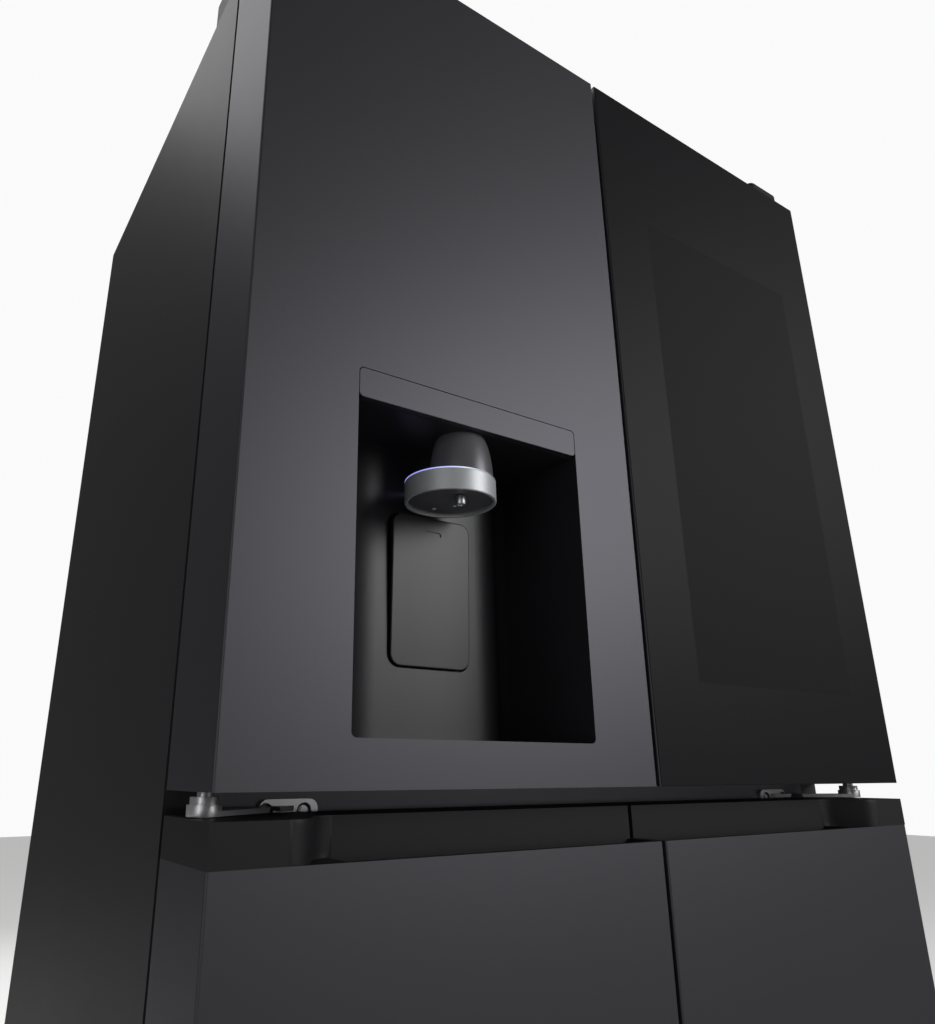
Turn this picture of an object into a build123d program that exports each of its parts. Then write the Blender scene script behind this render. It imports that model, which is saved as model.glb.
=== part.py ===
"""A four-door french door refrigerator with a water dispenser, modelled piece by piece.

Frame: +X to the right, +Y towards the back, +Z up, origin on the floor under the centre of the body.
All sizes are in millimetres. Left and right pieces share functions: a side is -1 (left) or 1 (right),
and their x ranges are given as distances off the centre line.
"""

import os
from math import cos, pi, radians, sin

from build123d import *

# ---------------------------------------------------------------- driving dimensions
WIDTH = 912.0
DEPTH = 730.0
CASE_TOP = 1748.0
CASE_BOTTOM = 36.0
COVER_TOP = 1788.0

DOOR_DEPTH = 106.0
GASKET_GAP = 6.0
GASKET_WIDTH = 16.0
CENTRE_GAP = 5.0
UPPER_BOTTOM = 852.0
UPPER_TOP = 1745.5
LOWER_BOTTOM = 62.0
DOOR_GAP = 19.0
GRIP_HEIGHT = 31.0
GRIP_DEPTH = 41.0
GRIP_START = 60.0
GRIP_FULL = 115.0
GRIP_FLOOR = 772.0
LIP = 8.0

SIDE_WALL = 58.0
TOP_WALL = 60.0
BACK_WALL = 62.0
DIVIDER_TOP = 880.0
DIVIDER_BOTTOM = 784.0
FREEZER_FLOOR = 112.0
POST_HALF = 27.0
STEP_FRONT = 78.0
STEP_WALL = 40.0
STEP_TOP = 300.0

SHEET = 1.2
DOOR_SHEET = 1.0
LINER = 2.5
DOOR_LINER = 2.0
END_CAP = 24.0
DYKE_BACK = -228.0
DYKE_SIDE = 392.0
DYKE_WALL = 34.0
BIN_BACK = -125.0
LOW_BIN_BACK = -185.0

PIVOT_INSET = 15.0
PIVOT_SETBACK = 57.0
PIN_RADIUS = 6.0
PIN_FIT = 0.1
PIN_LENGTH = 20.0

NICHE_LEFT = 108.0
NICHE_WIDTH = 265.0
NICHE_LOW = 39.0
NICHE_HIGH = 363.0
NICHE_DEPTH = 123.5
NICHE_WALL = 2.5
BEZEL_HEIGHT = 30.0
PAD_WALL_DEPTH = 88.0
STRIP_WIDTH = 19.3
CURVE_WIDTH = 51.5

NOZZLE_RADIUS = 45.6
NOZZLE_HEIGHT = 22.0
NOZZLE_INSET = 236.5
NOZZLE_DEPTH = 41.0
NOZZLE_ABOVE_DOOR = 266.0
NECK_INSET = 245.0
NECK_DEPTH = 33.5
NECK_RADIUS = 32.0
NECK_TOP_RADIUS = 24.5

PADDLE_WIDTH = 95.0
PADDLE_HEIGHT = 153.0
PADDLE_LOW = 110.0
PADDLE_THICK = 6.0
PADDLE_TILT = 1.8
PADDLE_RECESS = 8.0
PADDLE_SINK = 3.0

HINGE_SCREWS = (WIDTH / 2 - 86, WIDTH / 2 - 122)

MULLION_THICK = 18.0
MULLION_WIDTH = 62.0
MULLION_X = -28.0
MULLION_Y = -243.0

SHELF_LEVELS = [1250.0, 1400.0, 1545.0]
LID_LEVEL = 1075.0
SHELF_FRONT = -80.0

# ---------------------------------------------------------------- worked-out places
HALF = WIDTH / 2
FRONT = -DEPTH / 2
BACK = DEPTH / 2
DOOR_BACK = FRONT + DOOR_DEPTH
CASE_FRONT = DOOR_BACK + GASKET_GAP
INNER_X = HALF - SIDE_WALL
INNER_TOP = CASE_TOP - TOP_WALL
INNER_BACK = BACK - BACK_WALL
LINER_X = INNER_X + LINER
FLANGE_X = LINER_X + 20
DOOR_EDGE = CENTRE_GAP / 2
LOWER_TOP = UPPER_BOTTOM - DOOR_GAP
PANEL_TOP = LOWER_TOP - GRIP_HEIGHT
PIVOT_X = HALF - PIVOT_INSET
PIVOT_Y = FRONT + PIVOT_SETBACK
NICHE_X0 = -HALF + NICHE_LEFT
NICHE_X1 = NICHE_X0 + NICHE_WIDTH
NICHE_X = (NICHE_X0 + NICHE_X1) / 2
NICHE_Z0 = UPPER_BOTTOM + NICHE_LOW
NICHE_Z1 = UPPER_BOTTOM + NICHE_HIGH
BEZEL_Z = NICHE_Z1 - BEZEL_HEIGHT
HOUSING_X = (NICHE_X0 - NICHE_WALL, NICHE_X1 + NICHE_WALL)
HOUSING_Z = (NICHE_Z0 - NICHE_WALL, NICHE_Z1 + NICHE_WALL)
NICHE_BACK = FRONT + NICHE_DEPTH
HOUSING_BACK = NICHE_BACK + NICHE_WALL
PAD_WALL = FRONT + PAD_WALL_DEPTH
NOZZLE_Y = FRONT + NOZZLE_DEPTH
NOZZLE_Z = UPPER_BOTTOM + NOZZLE_ABOVE_DOOR

os.makedirs("parts", exist_ok=True)


# ---------------------------------------------------------------- helpers
def span(x, y, z, mode=Mode.ADD):
    """Adds or cuts a box over the ranges x, y and z in the part being built."""
    centre = ((x[0] + x[1]) / 2, (y[0] + y[1]) / 2, (z[0] + z[1]) / 2)
    with Locations(centre):
        Box(abs(x[1] - x[0]), abs(y[1] - y[0]), abs(z[1] - z[0]), mode=mode)


def rod(x, y, z, radius, mode=Mode.ADD):
    """Adds or cuts an upright cylinder at x, y over the range z."""
    with Locations((x, y, (z[0] + z[1]) / 2)):
        Cylinder(radius, abs(z[1] - z[0]), mode=mode)


def rod_along_y(x, z, y, radius, mode=Mode.ADD):
    """Adds or cuts a cylinder that runs front to back over the range y."""
    with Locations((x, (y[0] + y[1]) / 2, z)):
        Cylinder(radius, abs(y[1] - y[0]), rotation=(90, 0, 0), mode=mode)


def rod_along_x(y, z, x, radius, mode=Mode.ADD):
    """Adds or cuts a cylinder that runs left to right over the range x."""
    with Locations(((x[0] + x[1]) / 2, y, z)):
        Cylinder(radius, abs(x[1] - x[0]), rotation=(0, 90, 0), mode=mode)


def inset(r, amount):
    """The range r drawn in by amount at both ends."""
    return (r[0] + amount, r[1] - amount)


def off(side, near, far):
    """An x range on one side (-1 left, 1 right), from two distances off the centre line."""
    return (min(side * near, side * far), max(side * near, side * far))


def write(piece, name):
    """Labels a finished piece and writes its STEP file."""
    piece.part.label = name
    export_step(piece.part, f"parts/{name}.step")


def write_blocks(boxes, name):
    """Writes one piece made of separate blocks, each given as its x, y and z ranges."""
    solids = []
    for x, y, z in boxes:
        with BuildPart() as block:
            span(x, y, z)
        solids.append(block.part.solid())
    group = Compound(label=name, children=solids)
    export_step(group, f"parts/{name}.step")


# ---------------------------------------------------------------- cabinet shell
def cabinet_wrap():
    """Folded steel sheet: both sides and the top in one piece, with a return round the front."""
    with BuildPart() as wrap:
        span((-HALF, HALF), (CASE_FRONT, BACK), (CASE_BOTTOM, CASE_TOP))
        fillet(wrap.edges().filter_by(Axis.Y).group_by(Axis.Z)[-1], 2)
        inner_x = (-HALF + SHEET, HALF - SHEET)
        span(inner_x, (CASE_FRONT + SHEET, BACK), (CASE_BOTTOM, CASE_TOP - SHEET), Mode.SUBTRACT)
        mouth_z = (CASE_BOTTOM, INNER_TOP + LINER + 20)
        span((-FLANGE_X, FLANGE_X), (CASE_FRONT, CASE_FRONT + SHEET), mouth_z, Mode.SUBTRACT)
    write(wrap, "cabinet_wrap")


def back_panel():
    """Flat steel back above the machine space, with three pressed ribs on its inner face."""
    with BuildPart() as panel:
        edge = HALF - SHEET
        span((-edge, edge), (BACK - SHEET, BACK), (STEP_TOP, CASE_TOP - SHEET))
        for x in (-230, 0, 230):
            span((x - 13, x + 13), (BACK - SHEET - 2, BACK - SHEET), (STEP_TOP + 120, CASE_TOP - 140))
    write(panel, "back_panel")


def machine_cover():
    """Lower rear cover over the machine space, with rows of air slots."""
    with BuildPart() as cover:
        edge = HALF - SHEET
        span((-edge, edge), (BACK - SHEET, BACK), (44, STEP_TOP - 2))
        with Locations(*[(x, BACK, z) for x in (-260, 0, 260) for z in range(90, 260, 22)]):
            Box(180, 10, 7, mode=Mode.SUBTRACT)
    write(cover, "machine_cover")


def cabinet_insulation():
    """Foam slabs between the steel and the liners."""
    outer_x = HALF - SHEET
    front = CASE_FRONT + SHEET
    back = (INNER_BACK + LINER, BACK - SHEET - 2)
    roof = (INNER_TOP + LINER, CASE_TOP - SHEET)
    low = CASE_BOTTOM + 6
    floor = FREEZER_FLOOR - LINER
    slabs = [
        (off(-1, LINER_X, outer_x), (front, back[0]), (low, roof[0])),
        (off(1, LINER_X, outer_x), (front, back[0]), (low, roof[0])),
        ((-outer_x, outer_x), (front, back[1]), roof),
        ((-outer_x, outer_x), back, (STEP_TOP, roof[0])),
        ((-LINER_X, LINER_X), (front, back[0]), (DIVIDER_BOTTOM + LINER, DIVIDER_TOP - LINER)),
        ((-LINER_X, LINER_X), (front, STEP_FRONT + STEP_WALL), (low, floor)),
        ((-LINER_X, LINER_X), (STEP_FRONT, STEP_FRONT + STEP_WALL), (floor, STEP_TOP - 30)),
        ((-LINER_X, LINER_X), (STEP_FRONT, back[0]), (STEP_TOP - 30, STEP_TOP)),
    ]
    post = (-POST_HALF + LINER, POST_HALF - LINER)
    slabs.append((post, (front, STEP_FRONT), (floor, DIVIDER_BOTTOM + LINER)))
    slabs.append((post, (STEP_FRONT, back[0]), (STEP_TOP, DIVIDER_BOTTOM + LINER)))
    write_blocks(slabs, "cabinet_insulation")


def fridge_liner():
    """White plastic tub of the fridge space, with shelf ledges and a front flange."""
    back = INNER_BACK + LINER
    with BuildPart() as tub:
        span((-LINER_X, LINER_X), (CASE_FRONT, back), (DIVIDER_TOP - LINER, INNER_TOP + LINER))
        flange_z = (DIVIDER_TOP - LINER, INNER_TOP + LINER + 20)
        span((-FLANGE_X, FLANGE_X), (CASE_FRONT, CASE_FRONT + SHEET), flange_z)
        mouth = (CASE_FRONT - 1, INNER_BACK)
        span((-INNER_X, INNER_X), mouth, (DIVIDER_TOP, INNER_TOP), Mode.SUBTRACT)
        for level in [LID_LEVEL] + SHELF_LEVELS:
            for side in (-1, 1):
                span(off(side, INNER_X - 10, INNER_X), (SHELF_FRONT, 285), (level - 6, level))
    write(tub, "fridge_liner")


def freezer_liner():
    """Two white plastic tubs of the freezer, stepped over the machine space."""
    back = INNER_BACK + LINER
    floor = FREEZER_FLOOR - LINER
    with BuildPart() as tubs:
        for side in (-1, 1):
            outer = off(side, POST_HALF - LINER, LINER_X)
            inner = off(side, POST_HALF, INNER_X)
            span(outer, (CASE_FRONT, STEP_FRONT), (floor, STEP_TOP))
            span(outer, (CASE_FRONT, back), (STEP_TOP, DIVIDER_BOTTOM + LINER))
            flange_z = (LOWER_BOTTOM, DIVIDER_BOTTOM + LINER)
            span(off(side, POST_HALF - LINER, FLANGE_X), (CASE_FRONT, CASE_FRONT + SHEET), flange_z)
            mouth = CASE_FRONT - 1
            step = (FREEZER_FLOOR, STEP_TOP + LINER)
            span(inner, (mouth, STEP_FRONT - LINER), step, Mode.SUBTRACT)
            span(inner, (mouth, INNER_BACK), (STEP_TOP + LINER, DIVIDER_BOTTOM), Mode.SUBTRACT)
            for ledge in (off(side, POST_HALF, POST_HALF + 10), off(side, INNER_X - 10, INNER_X)):
                span(ledge, (-130, 225), (452, 458))
    write(tubs, "freezer_liner")


def centre_rail():
    """Steel face between the two compartments, with the strip down the freezer post."""
    with BuildPart() as rail:
        y = (CASE_FRONT, CASE_FRONT + SHEET)
        span((-FLANGE_X, FLANGE_X), y, (DIVIDER_BOTTOM + LINER, DIVIDER_TOP - LINER))
        post = POST_HALF - LINER
        span((-post, post), y, (LOWER_BOTTOM, DIVIDER_BOTTOM + LINER))
    write(rail, "centre_rail")


def base_tray():
    """Steel tray under the body, with nut blocks for the feet and forks for the rear rollers."""
    edge = HALF - SHEET
    with BuildPart() as tray:
        span((-edge, edge), (CASE_FRONT + SHEET, BACK - SHEET), (CASE_BOTTOM + 4, CASE_BOTTOM + 6))
        span((-400, 400), (CASE_FRONT + 1, CASE_FRONT + 3), (18, CASE_BOTTOM + 6))
        for side in (-1, 1):
            span(off(side, 396, 426), (-232, -202), (18, CASE_BOTTOM + 4))
            rod(side * 411, -217, (17, CASE_BOTTOM + 4), 5 + PIN_FIT, Mode.SUBTRACT)
            span(off(side, 392, 395), (292, 338), (10, CASE_BOTTOM + 4))
            span(off(side, 427, 430), (292, 338), (10, CASE_BOTTOM + 4))
            rod_along_x(315, 20, off(side, 392, 430), 4)
    write(tray, "base_tray")


def kick_grille():
    """Slotted plastic panel under the lower doors."""
    with BuildPart() as grille:
        span((-398, 398), (CASE_FRONT - 9, CASE_FRONT + 1), (14, 57))
        with Locations(*[(x, CASE_FRONT - 4, 35) for x in range(-360, 361, 24)]):
            Box(12, 30, 26, mode=Mode.SUBTRACT)
    write(grille, "kick_grille")


def top_hinges():
    """Steel plates on the case top that reach over the doors, each with a pin pointing down."""
    with BuildPart() as hinges:
        for side in (-1, 1):
            span(off(side, 392, 450), (-236, -172), (CASE_TOP, CASE_TOP + 3))
            span(off(side, 418, 450), (PIVOT_Y, -230), (CASE_TOP, CASE_TOP + 3))
            rod(side * PIVOT_X, PIVOT_Y, (CASE_TOP, CASE_TOP + 3), 10.5)
            rod(side * PIVOT_X, PIVOT_Y, (UPPER_TOP - PIN_LENGTH, CASE_TOP + 6), PIN_RADIUS)
            for x, y in ((402, -186), (438, -186), (402, -222)):
                rod(side * x, y, (CASE_TOP, CASE_TOP + 3), 3.1, Mode.SUBTRACT)
    write(hinges, "top_hinges")


def top_hinge_covers():
    """Hollow plastic caps over the top hinges."""
    with BuildPart() as covers:
        for side in (-1, 1):
            span(off(side, 384, 455), (-346, -160), (CASE_TOP, COVER_TOP))
        fillet(covers.edges().filter_by(Axis.Z), 10)
        fillet(covers.edges().group_by(Axis.Z)[-1], 5)
        for side in (-1, 1):
            span(off(side, 387, 452), (-343, -163), (CASE_TOP, COVER_TOP - 3), Mode.SUBTRACT)
    write(covers, "top_hinge_covers")


def middle_hinges():
    """Bright hinges in the gap between the doors: a face plate, a flat arm, two discs and a pin."""
    arm_z = (LOWER_TOP + 1, LOWER_TOP + 5)
    plate_y = (CASE_FRONT - 4.5, CASE_FRONT)
    with BuildPart() as hinges:
        for side in (-1, 1):
            plate_x = off(side, HALF - 135, HALF - 80)
            span(plate_x, plate_y, (LOWER_TOP - 12, LOWER_TOP + 10.5))
        fillet(hinges.edges().filter_by(Axis.Y).group_by(Axis.Z)[-1], 8)
        for side in (-1, 1):
            with BuildSketch(Plane.XY.offset(arm_z[0])):
                with BuildLine():
                    Polyline(
                        (side * (HALF - 113), CASE_FRONT - 1),
                        (side * (HALF - 110), CASE_FRONT - 9),
                        (side * (PIVOT_X - 7), PIVOT_Y - 11),
                        (side * (PIVOT_X + 9), PIVOT_Y + 9),
                        (side * (HALF - 95), CASE_FRONT - 1),
                        close=True,
                    )
                make_face()
            extrude(amount=arm_z[1] - arm_z[0])
            rod(side * PIVOT_X, PIVOT_Y, (arm_z[0], arm_z[1] + 4.5), 13)
            rod(side * PIVOT_X, PIVOT_Y, (arm_z[0], UPPER_BOTTOM - 4), 11)
            rod(side * PIVOT_X, PIVOT_Y, (LOWER_TOP - PIN_LENGTH, UPPER_BOTTOM + PIN_LENGTH), PIN_RADIUS)
            for x in HINGE_SCREWS:
                rod_along_y(side * x, LOWER_TOP + 0.5, (CASE_FRONT - 40, CASE_FRONT), 7, Mode.SUBTRACT)
    write(hinges, "middle_hinges")


def bottom_hinges():
    """Steel brackets under the lower doors, each with a pin pointing up."""
    arm_z = (LOWER_BOTTOM - 9, LOWER_BOTTOM - 4)
    with BuildPart() as hinges:
        for side in (-1, 1):
            span(off(side, 404, 450), (CASE_FRONT - 4, CASE_FRONT), (LOWER_BOTTOM - 25, arm_z[1]))
            span(off(side, 416, 450), (PIVOT_Y, CASE_FRONT - 4), arm_z)
            rod(side * PIVOT_X, PIVOT_Y, (arm_z[0], LOWER_BOTTOM - 1), 12)
            rod(side * PIVOT_X, PIVOT_Y, (arm_z[0], LOWER_BOTTOM + PIN_LENGTH), PIN_RADIUS)
            for x in (412, 440):
                rod_along_y(side * x, LOWER_BOTTOM - 17, (CASE_FRONT - 4, CASE_FRONT), 3.1, Mode.SUBTRACT)
    write(hinges, "bottom_hinges")


def hinge_screws():
    """Domed screws of the top, middle and bottom hinges."""
    with BuildPart() as screws:
        for side in (-1, 1):
            for x, y in ((402, -186), (438, -186), (402, -222)):
                rod(side * x, y, (CASE_TOP, CASE_TOP + 3), 3)
                rod(side * x, y, (CASE_TOP + 3, CASE_TOP + 6), 6)
            for x in HINGE_SCREWS:
                rod_along_y(side * x, LOWER_TOP + 0.5, (CASE_FRONT - 2.6, CASE_FRONT), 4.6)
                rod_along_y(side * x, LOWER_TOP + 0.5, (CASE_FRONT - 3.6, CASE_FRONT - 2.6), 3.4)
            for x in (412, 440):
                rod_along_y(side * x, LOWER_BOTTOM - 17, (CASE_FRONT - 4, CASE_FRONT), 3)
                rod_along_y(side * x, LOWER_BOTTOM - 17, (CASE_FRONT - 6.5, CASE_FRONT - 4), 6)
    write(screws, "hinge_screws")


# ---------------------------------------------------------------- machine space and feet
def compressor():
    """Hermetic compressor: a domed pot on a foot plate, with four rubber stands."""
    with BuildPart() as pot:
        rod(-270, 240, (47, 205), 74)
        fillet(pot.edges().group_by(Axis.Z)[-1], 34)
        fillet(pot.edges().group_by(Axis.Z)[0], 12)
        span((-370, -170), (165, 315), (52, 55))
        for x in (-358, -182):
            for y in (178, 302):
                rod(x, y, (CASE_BOTTOM + 6, 55), 9)
        rod(-236, 240, (190, 224), 4)
        rod(-300, 262, (190, 218), 3)
    write(pot, "compressor")


def condenser_coil():
    """Serpentine tube and fins behind a fan shroud that carries the fan motor."""
    with BuildPart() as coil:
        span((40, 62), (170, 330), (CASE_BOTTOM + 6, 206))
        rod_along_x(250, 125, (39, 63), 64, Mode.SUBTRACT)
        span((54, 60), (180, 320), (119, 131))
        rod_along_x(250, 125, (34, 60), 19)
        rod_along_x(250, 125, (4, 34), 3)
        for x in range(70, 331, 20):
            span((x, x + 1.5), (182, 318), (CASE_BOTTOM + 10, 198))
        for y in (200, 250, 300):
            for z in (66, 96, 126, 156, 186):
                rod_along_x(y, z, (60, 340), 4)
    write(coil, "condenser_coil")


def fan(name, axis_x, blade_radius, centre):
    """A five-bladed fan with a bored hub, turning about X or about Y."""
    turn = (0, 90, 0) if axis_x else (90, 0, 0)
    hub = Plane(origin=centre, z_dir=(1, 0, 0) if axis_x else (0, 1, 0))
    bore = 3 + 0.08 if axis_x else 2.5 + 0.08
    with BuildPart() as wheel:
        with BuildSketch(hub):
            Circle(15)
        extrude(amount=8, both=True)
        for k in range(5):
            with BuildSketch(hub.offset(-1.5)):
                with PolarLocations(0, 1, start_angle=72 * k):
                    with Locations((blade_radius / 2 + 5, 0)):
                        SlotOverall(blade_radius - 10, 24)
            extrude(amount=3)
        with BuildSketch(hub):
            Circle(bore)
        extrude(amount=10, both=True, mode=Mode.SUBTRACT)
    write(wheel, name)


def evaporator():
    """Cold coil behind the left freezer cover: tubes through fins."""
    with BuildPart() as coil:
        for x in range(-380, -39, 20):
            span((x, x + 1.5), (252, 298), (330, 600))
        for y in (264, 286):
            for z in range(345, 600, 30):
                rod_along_x(y, z, (-385, -35), 4)
    write(coil, "evaporator")


def evaporator_covers():
    """White back panels of the two freezer spaces; the left one carries the fan and its motor."""
    with BuildPart() as panels:
        for side in (-1, 1):
            span(off(side, POST_HALF + 0.5, INNER_X - 0.5), (238, 241), (STEP_TOP + LINER + 0.5, DIVIDER_BOTTOM - 0.5))
        rod_along_y(-212, 690, (237, 242), 52, Mode.SUBTRACT)
        span((-266, -158), (238, 241), (685, 695))
        span((-217, -207), (238, 241), (636, 744))
        rod_along_y(-212, 690, (238, 256), 17)
        rod_along_y(-212, 690, (256, 284), 2.5)
        with Locations(*[(x, 239.5, z) for x in range(100, 340, 40) for z in (350, 370, 390)]):
            Box(28, 8, 6, mode=Mode.SUBTRACT)
    write(panels, "evaporator_covers")


def leveling_foot(side, name):
    """Threaded stem with a wide round pad and a hexagon to turn it by."""
    with BuildPart() as foot:
        rod(side * 411, -217, (0, 9), 19)
        fillet(foot.edges().group_by(Axis.Z)[-1], 2)
        with BuildSketch(Plane.XY.offset(9)):
            with Locations((side * 411, -217)):
                RegularPolygon(9, 6)
        extrude(amount=6)
        rod(side * 411, -217, (15, CASE_BOTTOM + 3), 5)
    write(foot, name)


def rear_roller(side, name):
    """Nylon wheel on the rear axle."""
    with BuildPart() as wheel:
        rod_along_x(315, 20, off(side, 397, 425), 20)
        fillet(wheel.edges().filter_by(GeomType.CIRCLE), 2)
        rod_along_x(315, 20, off(side, 390, 432), 4.08, Mode.SUBTRACT)
    write(wheel, name)


# ---------------------------------------------------------------- inside fittings
def shelf_glass():
    """Three glass shelves and the glass lid over the crispers."""
    with BuildPart() as panes:
        for level in [LID_LEVEL] + SHELF_LEVELS:
            span((-INNER_X + 1.5, INNER_X - 1.5), (SHELF_FRONT, 285), (level, level + 4))
    write(panes, "shelf_glass")


def shelf_trims():
    """Front edge strips of the shelves and of the crisper lid."""
    with BuildPart() as trims:
        for level in [LID_LEVEL] + SHELF_LEVELS:
            x = (-INNER_X + 12, INNER_X - 12)
            span(x, (SHELF_FRONT - 9, SHELF_FRONT), (level - 9, level + 7))
            span(x, (SHELF_FRONT, SHELF_FRONT + 12), (level - 2, level))
    write(trims, "shelf_trims")


def drawer(name, x, y, z, wall=3.0):
    """An open box with a thicker front and a finger scoop in its upper edge."""
    with BuildPart() as box:
        span(x, y, z)
        fillet(box.edges().filter_by(Axis.Z), 6)
        span(inset(x, wall), (y[0] + 4 * wall, y[1] - wall), (z[0] + wall, z[1] + 1), Mode.SUBTRACT)
        middle = (x[0] + x[1]) / 2
        span((middle - 70, middle + 70), (y[0] - 1, y[0] + 4 * wall + 1), (z[1] - 14, z[1] + 1), Mode.SUBTRACT)
    write(box, name)


# ---------------------------------------------------------------- upper doors
def upper_skin(side, name):
    """Folded skin of an upper door: front and both sides, open at the top, bottom and back."""
    z = (UPPER_BOTTOM, UPPER_TOP)
    with BuildPart() as skin:
        span(off(side, DOOR_EDGE, HALF), (FRONT, DOOR_BACK), z)
        fillet(skin.edges().filter_by(Axis.Z).group_by(Axis.Y)[0], 2)
        far = off(side, DOOR_EDGE + DOOR_SHEET, HALF - DOOR_SHEET)
        span(far, (FRONT + DOOR_SHEET, DOOR_BACK), z, Mode.SUBTRACT)
        if side < 0:
            with BuildSketch(Plane.XZ.offset(-FRONT + 1)):
                with Locations((NICHE_X, (NICHE_Z0 + NICHE_Z1) / 2)):
                    RectangleRounded(NICHE_WIDTH, NICHE_Z1 - NICHE_Z0, 5)
            extrude(amount=-4, mode=Mode.SUBTRACT)
        else:
            span(far, (FRONT, FRONT + DOOR_SHEET), z, Mode.SUBTRACT)
            span(off(side, DOOR_EDGE, HALF), (FRONT + 4, FRONT + 5), z)
            window = off(side, DOOR_EDGE + 34, HALF - 34)
            span(window, (FRONT + 3, FRONT + 6), inset(z, 34), Mode.SUBTRACT)
    write(skin, name)


def end_caps(side, name):
    """Hollow plastic caps that close a door at the top and bottom and hold the pin bushes."""
    x = off(side, DOOR_EDGE + DOOR_SHEET, HALF - DOOR_SHEET)
    front = FRONT + (DOOR_SHEET if side < 0 else 5)
    y = (front, DOOR_BACK - DOOR_LINER)
    with BuildPart() as caps:
        span(x, y, (UPPER_BOTTOM, UPPER_BOTTOM + END_CAP))
        span(x, y, (UPPER_TOP - END_CAP, UPPER_TOP))
        span(inset(x, 3), inset(y, 3), (UPPER_BOTTOM + 4, UPPER_BOTTOM + END_CAP), Mode.SUBTRACT)
        span(inset(x, 3), inset(y, 3), (UPPER_TOP - END_CAP, UPPER_TOP - 4), Mode.SUBTRACT)
        rod(side * PIVOT_X, PIVOT_Y, (UPPER_BOTTOM, UPPER_BOTTOM + END_CAP), 12.5)
        rod(side * PIVOT_X, PIVOT_Y, (UPPER_TOP - END_CAP, UPPER_TOP), 12.5)
        bore = PIN_RADIUS + PIN_FIT
        rod(side * PIVOT_X, PIVOT_Y, (UPPER_BOTTOM - 1, UPPER_BOTTOM + PIN_LENGTH + 1), bore, Mode.SUBTRACT)
        rod(side * PIVOT_X, PIVOT_Y, (UPPER_TOP - PIN_LENGTH - 1, UPPER_TOP + 1), bore, Mode.SUBTRACT)
    write(caps, name)


def upper_liner(side, name, near, pocket_low):
    """Inner plastic pan of an upper door: a raised border that frames a sunken field for the bins."""
    low, high = DIVIDER_TOP + 6, INNER_TOP - 6
    flange_x = off(side, DOOR_EDGE + DOOR_SHEET, HALF - DOOR_SHEET)
    wall = DOOR_LINER
    start = DOOR_BACK - DOOR_LINER
    field = off(side, near + DYKE_WALL, DYKE_SIDE - DYKE_WALL)
    field_z = (pocket_low, high - DYKE_WALL)
    with BuildPart() as pan:
        span(flange_x, (start, DOOR_BACK), (UPPER_BOTTOM, UPPER_TOP))
        span(off(side, near, DYKE_SIDE), (start, DYKE_BACK), (low, high))
        hollow = off(side, near + wall, DYKE_SIDE - wall)
        span(hollow, (start - 1, DYKE_BACK - wall), (low + wall, high - wall), Mode.SUBTRACT)
        span(inset(field, -wall), (start, DYKE_BACK), inset(field_z, -wall))
        span(field, (DOOR_BACK, DYKE_BACK + 1), field_z, Mode.SUBTRACT)
        if side < 0:
            for z in ((low + 4, low + 11), (high - 11, high - 4)):
                span((MULLION_X - 20, MULLION_X + 7), (MULLION_Y - 9.5, MULLION_Y + 7), z)
            rod(MULLION_X, MULLION_Y, (low + 11, low + 25), 4)
            rod(MULLION_X, MULLION_Y, (high - 25, high - 11), 4)
    write(pan, name)


def left_door_insulation():
    """Foam blocks of the left door, laid round the dispenser housing."""
    y = (FRONT + DOOR_SHEET, DOOR_BACK - DOOR_LINER)
    z = (UPPER_BOTTOM + END_CAP, UPPER_TOP - END_CAP)
    low, high = DIVIDER_TOP + 6 + DOOR_LINER, INNER_TOP - 6 - DOOR_LINER
    dyke_y = (y[1], DYKE_BACK - DOOR_LINER)
    near = -MULLION_X + 18
    side_x = (near + DYKE_WALL - DOOR_LINER, DYKE_SIDE - DYKE_WALL + DOOR_LINER)
    edge = off(-1, DOOR_EDGE + DOOR_SHEET, HALF - DOOR_SHEET)
    blocks = [
        ((edge[0], HOUSING_X[0]), y, z),
        ((HOUSING_X[1], edge[1]), y, z),
        (HOUSING_X, y, (z[0], HOUSING_Z[0])),
        (HOUSING_X, y, (HOUSING_Z[1], z[1])),
        (off(-1, near + DOOR_LINER, side_x[0]), dyke_y, (low, high)),
        (off(-1, side_x[1], DYKE_SIDE - DOOR_LINER), dyke_y, (low, high)),
        (off(-1, *side_x), dyke_y, (high - DYKE_WALL + 2 * DOOR_LINER, high)),
        (off(-1, *side_x), (HOUSING_BACK, dyke_y[1]), (low, HOUSING_Z[1])),
        (off(-1, *side_x), dyke_y, (HOUSING_Z[1], LEFT_FIELD - DOOR_LINER)),
    ]
    write_blocks(blocks, "left_door_insulation")


def right_door_insulation():
    """Foam blocks of the right door, behind the glass front."""
    y = (FRONT + 5, DOOR_BACK - DOOR_LINER)
    z = (UPPER_BOTTOM + END_CAP, UPPER_TOP - END_CAP)
    low, high = DIVIDER_TOP + 6 + DOOR_LINER, INNER_TOP - 6 - DOOR_LINER
    dyke_y = (y[1], DYKE_BACK - DOOR_LINER)
    side_x = (RIGHT_NEAR + DYKE_WALL - DOOR_LINER, DYKE_SIDE - DYKE_WALL + DOOR_LINER)
    blocks = [
        (off(1, DOOR_EDGE + DOOR_SHEET, HALF - DOOR_SHEET), y, z),
        (off(1, RIGHT_NEAR + DOOR_LINER, side_x[0]), dyke_y, (low, high)),
        (off(1, side_x[1], DYKE_SIDE - DOOR_LINER), dyke_y, (low, high)),
        (off(1, *side_x), dyke_y, (high - DYKE_WALL + 2 * DOOR_LINER, high)),
        (off(1, *side_x), dyke_y, (low, RIGHT_FIELD - DOOR_LINER)),
    ]
    write_blocks(blocks, "right_door_insulation")


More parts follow.
